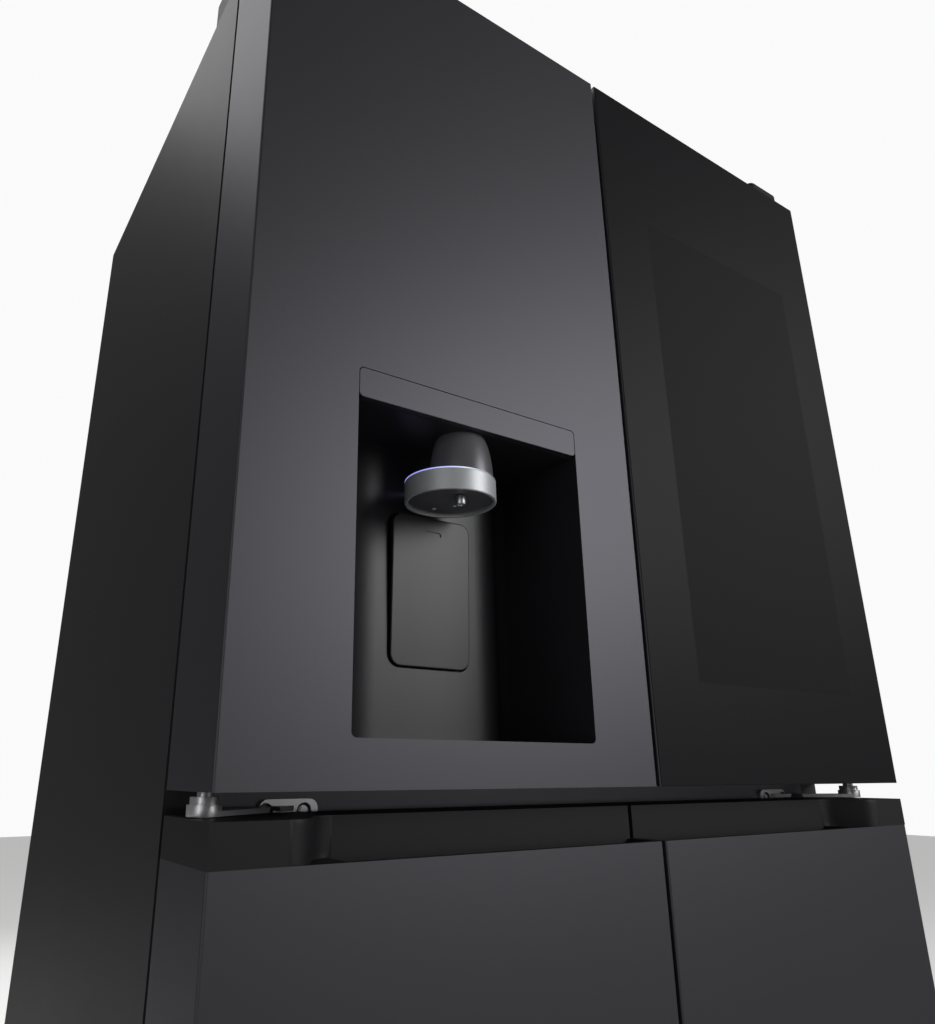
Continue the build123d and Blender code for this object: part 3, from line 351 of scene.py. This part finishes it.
def window_field():
    """Tone and gloss of the printed glass: a clearer field with a soft edge inside a border."""
    group, given, result = effect(
        "Window field",
        [
            ("Border", "NodeSocketColor", (0.0105, 0.0102, 0.0120, 1)),
            ("Field", "NodeSocketColor", (0.0112, 0.0109, 0.0128, 1)),
            ("Border roughness", "NodeSocketFloat", 0.48),
            ("Field roughness", "NodeSocketFloat", 0.60),
            ("Middle", "NodeSocketVector", (0.2315, 0.0, 1.257)),
            ("Half size", "NodeSocketVector", (0.1515, 1.0, 0.300)),
            ("Softness", "NodeSocketFloat", 0.0016),
        ],
        [("Colour", "NodeSocketColor"), ("Roughness", "NodeSocketFloat")],
    )
    place = group.nodes.new("ShaderNodeTexCoord")
    shifted = group.nodes.new("ShaderNodeVectorMath")
    shifted.operation = "SUBTRACT"
    mirrored = group.nodes.new("ShaderNodeVectorMath")
    mirrored.operation = "ABSOLUTE"
    left_over = group.nodes.new("ShaderNodeVectorMath")
    left_over.operation = "SUBTRACT"
    split = group.nodes.new("ShaderNodeSeparateXYZ")
    nearest = group.nodes.new("ShaderNodeMath")
    nearest.operation = "MINIMUM"
    softened = group.nodes.new("ShaderNodeMath")
    softened.operation = "DIVIDE"
    softened.use_clamp = True
    mix = group.nodes.new("ShaderNodeMix")
    mix.data_type = "RGBA"
    gloss = group.nodes.new("ShaderNodeMix")
    link = group.links.new
    link(place.outputs["Object"], shifted.inputs[0])
    link(given.outputs["Middle"], shifted.inputs[1])
    link(shifted.outputs[0], mirrored.inputs[0])
    link(given.outputs["Half size"], left_over.inputs[0])
    link(mirrored.outputs[0], left_over.inputs[1])
    link(left_over.outputs[0], split.inputs[0])
    link(split.outputs["X"], nearest.inputs[0])
    link(split.outputs["Z"], nearest.inputs[1])
    link(nearest.outputs[0], softened.inputs[0])
    link(given.outputs["Softness"], softened.inputs[1])
    link(softened.outputs[0], mix.inputs["Factor"])
    link(given.outputs["Border"], mix.inputs["A"])
    link(given.outputs["Field"], mix.inputs["B"])
    link(mix.outputs["Result"], result.inputs["Colour"])
    link(softened.outputs[0], gloss.inputs["Factor"])
    link(given.outputs["Border roughness"], gloss.inputs["A"])
    link(given.outputs["Field roughness"], gloss.inputs["B"])
    link(gloss.outputs["Result"], result.inputs["Roughness"])
    return group


EFFECT_MAKERS = {
    "Window field": window_field,
    "Painted highlight arc": painted_highlight_arc,
    "Uneven gloss": uneven_gloss,
    "Tone drift": tone_drift,
    "Surface grain": surface_grain,
    "Settled dust": settled_dust,
}


def place_effect(tree, name, **values):
    """Adds a shared effect to a material and sets its named inputs."""
    group = bpy.data.node_groups.get(name) or EFFECT_MAKERS[name]()
    node = tree.nodes.new("ShaderNodeGroup")
    node.node_tree = group
    for label, value in values.items():
        node.inputs[label.replace("_", " ").capitalize()].default_value = value
    return node


# ---------------------------------------------------------------- materials
def surface(name, colour, metallic=0.0, roughness=0.4, gloss_spread=0.04, drift=0.08,
            grain=900.0, stretch=(1, 1, 1), grain_height=0.00001, dust=0.0, **plain):
    """A finished opaque material: drifting tone and gloss, a fine grain and, if asked, dust."""
    if name in MADE:
        return MADE[name]
    material = MADE[name] = bpy.data.materials.new(name)
    material.use_nodes = True
    tree = material.node_tree
    link = tree.links.new
    shader = tree.nodes["Principled BSDF"]
    shader.inputs["Metallic"].default_value = metallic
    for label, value in plain.items():
        shader.inputs[label.replace("_", " ")].default_value = value
    tone = place_effect(tree, "Tone drift", colour=(*colour, 1), drift=drift, scale=2.5)
    last = tone
    if dust:
        last = place_effect(tree, "Settled dust", amount=dust)
        link(tone.outputs["Colour"], last.inputs["Colour"])
    link(last.outputs["Colour"], shader.inputs["Base Color"])
    gloss = place_effect(tree, "Uneven gloss", roughness=roughness, spread=gloss_spread, scale=5.0)
    link(gloss.outputs["Roughness"], shader.inputs["Roughness"])
    texture = place_effect(tree, "Surface grain", scale=grain, stretch=stretch)
    bump = tree.nodes.new("ShaderNodeBump")
    bump.inputs["Distance"].default_value = grain_height
    link(texture.outputs["Height"], bump.inputs["Height"])
    link(bump.outputs["Normal"], shader.inputs["Normal"])
    return material


def coated_steel():
    s = bpy.context.scene.fridge_finish
    return surface(
        "coated_steel", s.steel_colour, metallic=0.9, roughness=s.steel_roughness,
        gloss_spread=0.03, drift=0.05, grain=420.0, stretch=(1, 1, 0.04), grain_height=0.000004,
    )


def cabinet_paint():
    s = bpy.context.scene.fridge_finish
    return surface(
        "cabinet_paint", s.cabinet_colour, roughness=0.5, gloss_spread=0.06,
        grain=700.0, grain_height=0.00006, dust=0.15,
    )


def rail_paint():
    return surface(
        "rail_paint", (0.16, 0.157, 0.172), metallic=0.5, roughness=0.42, gloss_spread=0.06,
        grain=700.0, grain_height=0.00003,
    )


def dark_plastic():
    return surface(
        "dark_plastic", (0.014, 0.0138, 0.0158), roughness=0.55, grain=1400.0,
        grain_height=0.00004, Specular_IOR_Level=0.3,
    )


def niche_plastic():
    return surface(
        "niche_plastic", (0.0165, 0.0158, 0.0192), roughness=0.40, gloss_spread=0.03,
        grain=1600.0, grain_height=0.000008, Specular_IOR_Level=0.55,
    )


def nozzle_plastic():
    return surface(
        "nozzle_plastic", (0.165, 0.163, 0.176), metallic=0.25, roughness=0.33, gloss_spread=0.03,
        grain=1800.0, grain_height=0.000008,
    )


def sensor_lens():
    return surface("sensor_lens", (0.72, 0.73, 0.76), metallic=0.3, roughness=0.2, grain=900.0)


def silver_trim():
    s = bpy.context.scene.fridge_finish
    return surface(
        "silver_trim", s.trim_colour, metallic=1.0, roughness=0.38, drift=0.04,
        grain=1200.0, stretch=(1, 1, 0.05), grain_height=0.000006,
    )


def ring_trim():
    s = bpy.context.scene.fridge_finish
    return surface(
        "ring_trim", s.trim_colour, metallic=0.45, roughness=0.46, drift=0.03,
        grain=1200.0, stretch=(1, 1, 0.05), grain_height=0.000004,
    )


def hinge_steel():
    return surface(
        "hinge_steel", (0.78, 0.77, 0.78), metallic=0.75, roughness=0.34, gloss_spread=0.14,
        drift=0.12, grain=500.0, grain_height=0.00002,
    )


def zinc_steel():
    return surface(
        "zinc_steel", (0.42, 0.43, 0.44), metallic=1.0, roughness=0.42, gloss_spread=0.16,
        drift=0.22, grain=140.0, grain_height=0.00001, dust=0.1,
    )


def liner_plastic():
    s = bpy.context.scene.fridge_finish
    return surface(
        "liner_plastic", s.liner_colour, roughness=0.34, gloss_spread=0.05, drift=0.02,
        grain=500.0, grain_height=0.00002,
    )


def foam():
    return surface(
        "insulation_foam", (0.78, 0.68, 0.42), roughness=0.9, drift=0.25, grain=260.0,
        grain_height=0.0006,
    )


def seal_rubber():
    return surface(
        "seal_rubber", (0.10, 0.10, 0.105), roughness=0.6, grain=800.0, drift=0.1,
        grain_height=0.00003,
    )


def black_rubber():
    return surface(
        "black_rubber", (0.02, 0.02, 0.02), roughness=0.7, drift=0.2, grain=600.0,
        grain_height=0.00006,
    )


def dark_glass():
    """Dark printed glass with a slightly clearer field inside a wide border."""
    name = "dark_glass_sheet"
    if name in MADE:
        return MADE[name]
    material = surface(
        name, (0.020, 0.0195, 0.023), roughness=0.3, gloss_spread=0.02, drift=0.04,
        grain=5.0, grain_height=0.00006, Specular_IOR_Level=0.12,
    )
    tree = material.node_tree
    shader = tree.nodes["Principled BSDF"]
    field = place_effect(tree, "Window field")
    tree.links.new(field.outputs["Colour"], shader.inputs["Base Color"])
    tree.links.new(field.outputs["Roughness"], shader.inputs["Roughness"])
    return material


def painted_rim_highlight():
    """Glowing band on the nozzle ring's rim that paints a cool white highlight, brightest at the
    left.
    """
    name = "painted_rim_highlight"
    if name in MADE:
        return MADE[name]
    s = bpy.context.scene.fridge_dispenser
    material = surface(name, (0.10, 0.105, 0.12), roughness=0.4, grain=900.0)
    tree = material.node_tree
    shader = tree.nodes["Principled BSDF"]
    glow = place_effect(tree, "Painted highlight arc")
    # the emission paints the highlight on the rim, fading along X
    tree.links.new(glow.outputs["Colour"], shader.inputs["Emission Color"])
    shader.inputs["Emission Strength"].default_value = s.painted_band_glow
    return material


def lamp_lens():
    """Frosted lens of the ceiling lamp."""
    name = "lamp_lens"
    if name in MADE:
        return MADE[name]
    s = bpy.context.scene.fridge_inside
    material = surface(name, (0.9, 0.9, 0.88), roughness=0.5, grain=700.0, grain_height=0.00004)
    tree = material.node_tree
    shader = tree.nodes["Principled BSDF"]
    glow = place_effect(tree, "Tone drift", colour=(1.0, 0.97, 0.92, 1), drift=0.3, scale=20.0)
    tree.links.new(glow.outputs["Colour"], shader.inputs["Emission Color"])
    shader.inputs["Emission Strength"].default_value = s.lamp_power
    return material


def black_enamel():
    return surface(
        "black_enamel", (0.012, 0.012, 0.013), roughness=0.22, gloss_spread=0.1, grain=90.0,
        grain_height=0.00004, dust=0.3,
    )


def coil_metal():
    return surface(
        "coil_metal", (0.55, 0.55, 0.56), metallic=1.0, roughness=0.4, drift=0.2, grain=300.0,
        grain_height=0.00003, dust=0.25,
    )


def clear_material(name, tint, roughness, ior, grain_height):
    """Clear glass or plastic with a plain transmission and a faint ripple."""
    if name in MADE:
        return MADE[name]
    material = MADE[name] = bpy.data.materials.new(name)
    material.use_nodes = True
    tree = material.node_tree
    link = tree.links.new
    shader = tree.nodes["Principled BSDF"]
    shader.inputs["Transmission Weight"].default_value = 1.0
    shader.inputs["IOR"].default_value = ior
    tone = place_effect(tree, "Tone drift", colour=(*tint, 1), drift=0.03, scale=4.0)
    link(tone.outputs["Colour"], shader.inputs["Base Color"])
    gloss = place_effect(tree, "Uneven gloss", roughness=roughness, spread=0.05, scale=7.0)
    link(gloss.outputs["Roughness"], shader.inputs["Roughness"])
    ripple = place_effect(tree, "Surface grain", scale=30.0)
    bump = tree.nodes.new("ShaderNodeBump")
    bump.inputs["Distance"].default_value = grain_height
    link(ripple.outputs["Height"], bump.inputs["Height"])
    link(bump.outputs["Normal"], shader.inputs["Normal"])
    return material


def shelf_glass():
    return clear_material("shelf_glass", (0.86, 0.95, 0.92), 0.03, 1.5, 0.00002)


def clear_plastic():
    return clear_material("clear_plastic", (0.93, 0.96, 0.98), 0.08, 1.46, 0.00005)


def pale_floor():
    """Pale floor that looks bright to the camera without lighting the doors from below."""
    name = "pale_floor"
    if name in MADE:
        return MADE[name]
    material = surface(
        name, (0.62, 0.62, 0.615), roughness=0.6, drift=0.03, grain=60.0, grain_height=0.0001,
    )
    tree = material.node_tree
    shader = tree.nodes["Principled BSDF"]
    seen = tree.nodes.new("ShaderNodeLightPath")
    glow = tree.nodes.new("ShaderNodeMix")
    glow.data_type = "RGBA"
    glow.inputs["A"].default_value = (0, 0, 0, 1)
    glow.inputs["B"].default_value = (0.42, 0.42, 0.415, 1)
    tree.links.new(seen.outputs["Is Camera Ray"], glow.inputs["Factor"])
    tree.links.new(glow.outputs["Result"], shader.inputs["Emission Color"])
    shader.inputs["Emission Strength"].default_value = 1.0
    return material


# ---------------------------------------------------------------- helpers
def dress(material, *names):
    """Gives CAD nodes a material."""
    for name in names:
        for slot in NODES[name].material_slots:
            slot.material = material


def soften(name, width, segments=2, angle=35):
    """Rounds the sharp edges of a CAD node with modifiers."""
    node = NODES[name]
    weld = node.modifiers.new("Join edges", "WELD")
    weld.merge_threshold = 0.00001
    bevel = node.modifiers.new("Edge radius", "BEVEL")
    bevel.width = width
    bevel.segments = segments
    bevel.limit_method = "ANGLE"
    bevel.angle_limit = math.radians(angle)
    bevel.harden_normals = True
    bevel.use_clamp_overlap = True


def new_piece(name, bm, body, material):
    """Turns a bmesh into a piece that rides on a body."""
    mesh = bpy.data.meshes.new(name)
    bm.to_mesh(mesh)
    bm.free()
    for face in mesh.polygons:
        face.use_smooth = True
    piece = bpy.data.objects.new(name, mesh)
    bpy.context.scene.collection.objects.link(piece)
    mesh.materials.append(material)
    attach(piece, body)
    return piece


def turned(bm, profile, centre, steps=72):
    """Adds a shape turned about a vertical line: profile holds (radius, height) points."""
    rings = []
    for k in range(steps):
        a = 2 * math.pi * k / steps
        rings.append([
            bm.verts.new((centre[0] + r * math.cos(a), centre[1] + r * math.sin(a), z))
            for r, z in profile
        ])
    for k in range(steps):
        near, far = rings[k], rings[(k + 1) % steps]
        for i in range(len(profile)):
            j = (i + 1) % len(profile)
            bm.faces.new((near[i], far[i], far[j], near[j]))


def swept_bar(bm, outline, start, finish, axis):
    """Adds a bar with a closed outline in the two other directions, capped at both ends."""
    others = [k for k in range(3) if k != axis]
    ends = []
    for along in (start, finish):
        ring = []
        for u, v in outline:
            point = [0.0, 0.0, 0.0]
            point[axis], point[others[0]], point[others[1]] = along, u, v
            ring.append(bm.verts.new(point))
        ends.append(ring)
    count = len(outline)
    for i in range(count):
        j = (i + 1) % count
        bm.faces.new((ends[0][i], ends[0][j], ends[1][j], ends[1][i]))
    bm.faces.new(ends[0][::-1])
    bm.faces.new(ends[1])


def tidy_normals(bm):
    """Makes every face point outwards."""
    bmesh.ops.recalc_face_normals(bm, faces=bm.faces)


# ---------------------------------------------------------------- operators
class FRIDGE_OT_coated_doors(bpy.types.Operator):
    """Coated steel skins of the doors and the strip over the dispenser"""

    bl_idname = "fridge.coated_doors"
    bl_label = "Coated Steel Doors"

    def execute(self, context):
        dress(
            coated_steel(), "left_door_skin", "right_door_skin", "lower_left_door_skin",
            "lower_right_door_skin", "dispenser_bezel",
        )
        return {"FINISHED"}


class FRIDGE_OT_cabinet_shell(bpy.types.Operator):
    """Painted cabinet, rails, covers and the foam inside the walls"""

    bl_idname = "fridge.cabinet_shell"
    bl_label = "Cabinet Shell"

    def execute(self, context):
        dress(cabinet_paint(), "cabinet_wrap", "back_panel")
        dress(rail_paint(), "centre_rail")
        dress(dark_plastic(), "machine_cover", "kick_grille", "top_hinge_covers")
        dress(foam(), "cabinet_insulation", "left_door_insulation", "right_door_insulation")
        return {"FINISHED"}


class FRIDGE_OT_glass_front(bpy.types.Operator):
    """Dark glass sheet of the right door, with its printed border and see-through field"""

    bl_idname = "fridge.glass_front"
    bl_label = "Dark Glass Front"

    def execute(self, context):
        dress(dark_glass(), "right_door_glass")
        return {"FINISHED"}


class FRIDGE_OT_grip_caps(bpy.types.Operator):
    """Top caps of the lower doors and end caps of the upper doors"""

    bl_idname = "fridge.grip_caps"
    bl_label = "Door Caps"

    def execute(self, context):
        dress(
            dark_plastic(), "lower_left_door_grip_cap", "lower_right_door_grip_cap",
            "left_door_end_caps", "right_door_end_caps",
        )
        soften("lower_left_door_grip_cap", 0.0007)
        soften("lower_right_door_grip_cap", 0.0007)
        return {"FINISHED"}


class FRIDGE_OT_water_dispenser(bpy.types.Operator):
    """Niche, paddle, nozzle, a glowing band of painted highlight on the ring's rim, and sensor dots
    of the water dispenser
    """

    bl_idname = "fridge.water_dispenser"
    bl_label = "Water Dispenser"

    def execute(self, context):
        dress(niche_plastic(), "dispenser_housing", "dispenser_paddle")
        dress(nozzle_plastic(), "nozzle_neck")
        dress(ring_trim(), "nozzle_ring")
        dress(silver_trim(), "nozzle_spout")
        soften("dispenser_bezel", 0.0006)
        soften("nozzle_spout", 0.0005)
        s = context.scene.fridge_dispenser
        low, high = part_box("nozzle_ring")
        middle = ((low[0] + high[0]) / 2, (low[1] + high[1]) / 2)
        radius = (high[0] - low[0]) / 2
        top = high[2] + 0.0008
        inner = radius - 0.003
        # a thin glowing band on the ring's rim: painted highlight
        band = [
            (inner, top - s.painted_band_height), (radius - 0.0002, top - s.painted_band_height),
            (radius - 0.0001, top - s.painted_band_height / 2), (radius - 0.0003, top), (inner, top),
        ]
        bm = bmesh.new()
        turned(bm, band, middle, steps=BAND_STEPS)
        tidy_normals(bm)
        new_piece("painted_rim_highlight", bm, "left_door", painted_rim_highlight())
        bm = bmesh.new()
        for place in DOT_PLACES:
            self.sensor_dot(bm, place, low[2], s.dot_radius)
        tidy_normals(bm)
        new_piece("sensor_dots", bm, "left_door", sensor_lens())
        return {"FINISHED"}

    def sensor_dot(self, bm, place, bottom, radius):
        """One small domed lens under the nozzle face."""
        profile = [(0.0001, bottom - 0.0012)]
        for k in range(1, 7):
            a = math.pi / 2 * k / 6
            profile.append((radius * math.sin(a), bottom - 0.0004 - 0.0008 * math.cos(a)))
        profile.append((radius, bottom + 0.0006))
        profile.append((0.0001, bottom + 0.0006))
        turned(bm, profile, place, steps=24)


class FRIDGE_OT_hinges(bpy.types.Operator):
    """Bright middle hinges, zinc top and bottom hinges and their screws"""

    bl_idname = "fridge.hinges"
    bl_label = "Hinges"

    def execute(self, context):
        dress(hinge_steel(), "middle_hinges", "hinge_screws")
        dress(zinc_steel(), "top_hinges", "bottom_hinges")
        soften("middle_hinges", 0.0007, segments=3)
        soften("hinge_screws", 0.0004)
        return {"FINISHED"}


class FRIDGE_OT_inside_walls(bpy.types.Operator):
    """White liners, seals and the folding bar between the upper doors"""

    bl_idname = "fridge.inside_walls"
    bl_label = "Inside Walls and Seals"

    def execute(self, context):
        dress(
            liner_plastic(), "fridge_liner", "freezer_liner", "left_door_liner", "right_door_liner",
            "lower_left_door_core", "lower_right_door_core", "evaporator_covers",
        )
        dress(
            seal_rubber(), "left_door_gasket", "right_door_gasket", "lower_left_door_gasket",
            "lower_right_door_gasket",
        )
        dress(dark_plastic(), "mullion_bar")
        return {"FINISHED"}


class FRIDGE_OT_shelves_and_drawers(bpy.types.Operator):
    """Glass shelves, door bins, crispers and freezer drawers"""

    bl_idname = "fridge.shelves_and_drawers"
    bl_label = "Shelves and Drawers"

    def execute(self, context):
        dress(shelf_glass(), "shelf_glass")
        dress(silver_trim(), "shelf_trims")
        boxes = [n for n in NODES if "drawer" in n or "crisper" in n]
        dress(clear_plastic(), *boxes)
        dress(clear_plastic(), "left_door_bins", "right_door_bins")
        for name in boxes:
            self.pull_strip(name)
        self.ceiling_lamp()
        return {"FINISHED"}

    def pull_strip(self, name):
        """A satin strip with a finger lip along the top of a drawer front."""
        s = bpy.context.scene.fridge_inside
        low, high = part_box(name)
        back, top = low[1], high[2] - 0.004
        bottom = top - s.strip_height
        front, bevelled = back - s.strip_depth, back - s.strip_depth * 0.35
        outline = [
            (back, top), (back - s.strip_depth * 0.6, top), (front, top - 0.0015),
            (front, bottom + 0.0035), (back - s.strip_depth * 0.8, bottom), (bevelled, bottom),
            (bevelled, bottom + 0.004), (back, bottom + 0.004),
        ]
        bm = bmesh.new()
        swept_bar(bm, outline, low[0] + 0.012, high[0] - 0.012, 0)
        tidy_normals(bm)
        strip = new_piece(name + "_strip", bm, name, silver_trim())
        self.round_edges(strip, 0.0005)

    def ceiling_lamp(self):
        """A flat frosted lens with rounded rim under the ceiling of the fresh food compartment."""
        s = bpy.context.scene.fridge_inside
        half = s.lamp_width / 2
        front, back = LAMP_Y
        rim, lens = CEILING - 0.004, CEILING - 0.007
        bm = bmesh.new()
        outline = [
            (front, CEILING), (front, rim), (front + 0.006, lens),
            (back - 0.006, lens), (back, rim), (back, CEILING),
        ]
        swept_bar(bm, outline, -half, half, 0)
        tidy_normals(bm)
        lamp = new_piece("ceiling_lamp_lens", bm, "cabinet", lamp_lens())
        self.round_edges(lamp, 0.001)

    def round_edges(self, piece, width):
        """A small radius on every sharp edge of a new piece."""
        bevel = piece.modifiers.new("Edge radius", "BEVEL")
        bevel.width = width
        bevel.segments = 2
        bevel.limit_method = "ANGLE"
        bevel.harden_normals = True


class FRIDGE_OT_cooling_parts(bpy.types.Operator):
    """Compressor, coils, fans and base"""

    bl_idname = "fridge.cooling_parts"
    bl_label = "Cooling Parts and Base"

    def execute(self, context):
        dress(black_enamel(), "compressor")
        dress(coil_metal(), "condenser_coil", "evaporator")
        dress(dark_plastic(), "condenser_fan", "evaporator_fan")
        dress(dark_plastic(), "rear_roller_left", "rear_roller_right")
        dress(black_rubber(), "leveling_foot_left", "leveling_foot_right")
        dress(zinc_steel(), "base_tray")
        return {"FINISHED"}


class FRIDGE_OT_stage(bpy.types.Operator):
    """Floor, soft lights and camera"""

    bl_idname = "fridge.stage"
    bl_label = "Stage"

    def execute(self, context):
        s = context.scene.fridge_stage
        bm = bmesh.new()
        bmesh.ops.create_grid(bm, x_segments=4, y_segments=4, size=12.0)
        mesh = bpy.data.meshes.new("floor")
        bm.to_mesh(mesh)
        bm.free()
        floor = bpy.data.objects.new("floor", mesh)
        context.scene.collection.objects.link(floor)
        mesh.materials.append(pale_floor())

        target = Vector((0, -0.2, 1.0))
        upper_doors = Vector((0, -0.2, 1.35))
        hinge_gap = Vector((-0.35, -0.26, 0.84))
        floor_behind = Vector((0, 0.6, 0))
        key = self.soft_light("key_light", (1.9, -2.8, 2.15), upper_doors, (2.0, 1.5), s.key_power)
        key.spread = math.radians(75)
        self.soft_light("low_strip_light", (1.3, -2.4, 0.82), hinge_gap, (1.6, 0.16), s.strip_power)
        self.soft_light("fill_light", (-3.0, -2.2, 1.2), target, (1.8, 2.0), s.fill_power)
        self.soft_light("top_light", (0, 1.1, 4.2), floor_behind, (5.0, 2.6), s.top_power)
        self.soft_light("back_light", (1.2, 3.4, 2.4), target, (2.6, 2.0), s.back_power)

        world = bpy.data.worlds.new("Room light")
        context.scene.world = world
        world.use_nodes = True
        tree = world.node_tree
        room = tree.nodes["Background"]
        room.inputs["Color"].default_value = (0.95, 0.96, 1.0, 1)
        room.inputs["Strength"].default_value = s.room_level
        backdrop = tree.nodes.new("ShaderNodeBackground")
        backdrop.inputs["Color"].default_value = (0.96, 0.96, 0.96, 1)
        backdrop.inputs["Strength"].default_value = 1.0
        seen = tree.nodes.new("ShaderNodeLightPath")
        choose = tree.nodes.new("ShaderNodeMixShader")
        tree.links.new(seen.outputs["Is Camera Ray"], choose.inputs[0])
        tree.links.new(room.outputs[0], choose.inputs[1])
        tree.links.new(backdrop.outputs[0], choose.inputs[2])
        tree.links.new(choose.outputs[0], tree.nodes["World Output"].inputs["Surface"])

        data = bpy.data.cameras.new("camera")
        data.lens = s.lens
        data.sensor_width = 36.0
        data.shift_x = 0.05625
        data.shift_y = 0.0023
        data.clip_start = 0.02
        camera = bpy.data.objects.new("camera", data)
        context.scene.collection.objects.link(camera)
        camera.location = s.eye
        camera.rotation_euler = (math.pi / 2 + s.tilt, 0, -s.heading)
        context.scene.camera = camera
        context.scene.view_settings.view_transform = "Standard"
        return {"FINISHED"}

    def soft_light(self, name, place, target, size, power):
        """One rectangular soft light that points at the target."""
        data = bpy.data.lights.new(name, "AREA")
        data.shape = "RECTANGLE"
        data.size, data.size_y = size
        data.energy = power
        light = bpy.data.objects.new(name, data)
        light.location = place
        light.rotation_euler = (target - Vector(place)).to_track_quat("-Z", "Y").to_euler()
        bpy.context.scene.collection.objects.link(light)
        return data


OPERATORS = (
    FRIDGE_OT_coated_doors,
    FRIDGE_OT_cabinet_shell,
    FRIDGE_OT_glass_front,
    FRIDGE_OT_grip_caps,
    FRIDGE_OT_water_dispenser,
    FRIDGE_OT_hinges,
    FRIDGE_OT_inside_walls,
    FRIDGE_OT_shelves_and_drawers,
    FRIDGE_OT_cooling_parts,
    FRIDGE_OT_stage,
)


class FRIDGE_PT_sidebar(bpy.types.Panel):
    """Lists the settings and the steps that build the refrigerator."""

    bl_idname = "FRIDGE_PT_sidebar"
    bl_label = "Refrigerator"
    bl_space_type = "VIEW_3D"
    bl_region_type = "UI"
    bl_category = "Refrigerator"

    def draw(self, context):
        scene = context.scene
        for setting in SETTINGS:
            group = getattr(scene, setting)
            box = self.layout.box()
            for name in group.__annotations__:
                box.prop(group, name)
        for step in OPERATORS:
            self.layout.operator(step.bl_idname)


SETTINGS = {
    "fridge_finish": FinishSettings,
    "fridge_dispenser": DispenserSettings,
    "fridge_inside": InsideSettings,
    "fridge_stage": StageSettings,
}
CLASSES = (*SETTINGS.values(), *OPERATORS, FRIDGE_PT_sidebar)


def register():
    for cls in CLASSES:
        bpy.utils.register_class(cls)
    for name, cls in SETTINGS.items():
        setattr(bpy.types.Scene, name, PointerProperty(type=cls))


def unregister():
    for name in SETTINGS:
        delattr(bpy.types.Scene, name)
    for cls in reversed(CLASSES):
        bpy.utils.unregister_class(cls)


def main():
    """Builds the whole scene."""
    register()
    for step in OPERATORS:
        prefix, name = step.bl_idname.split(".")
        getattr(getattr(bpy.ops, prefix), name)()


if __name__ == "__main__":
    main()
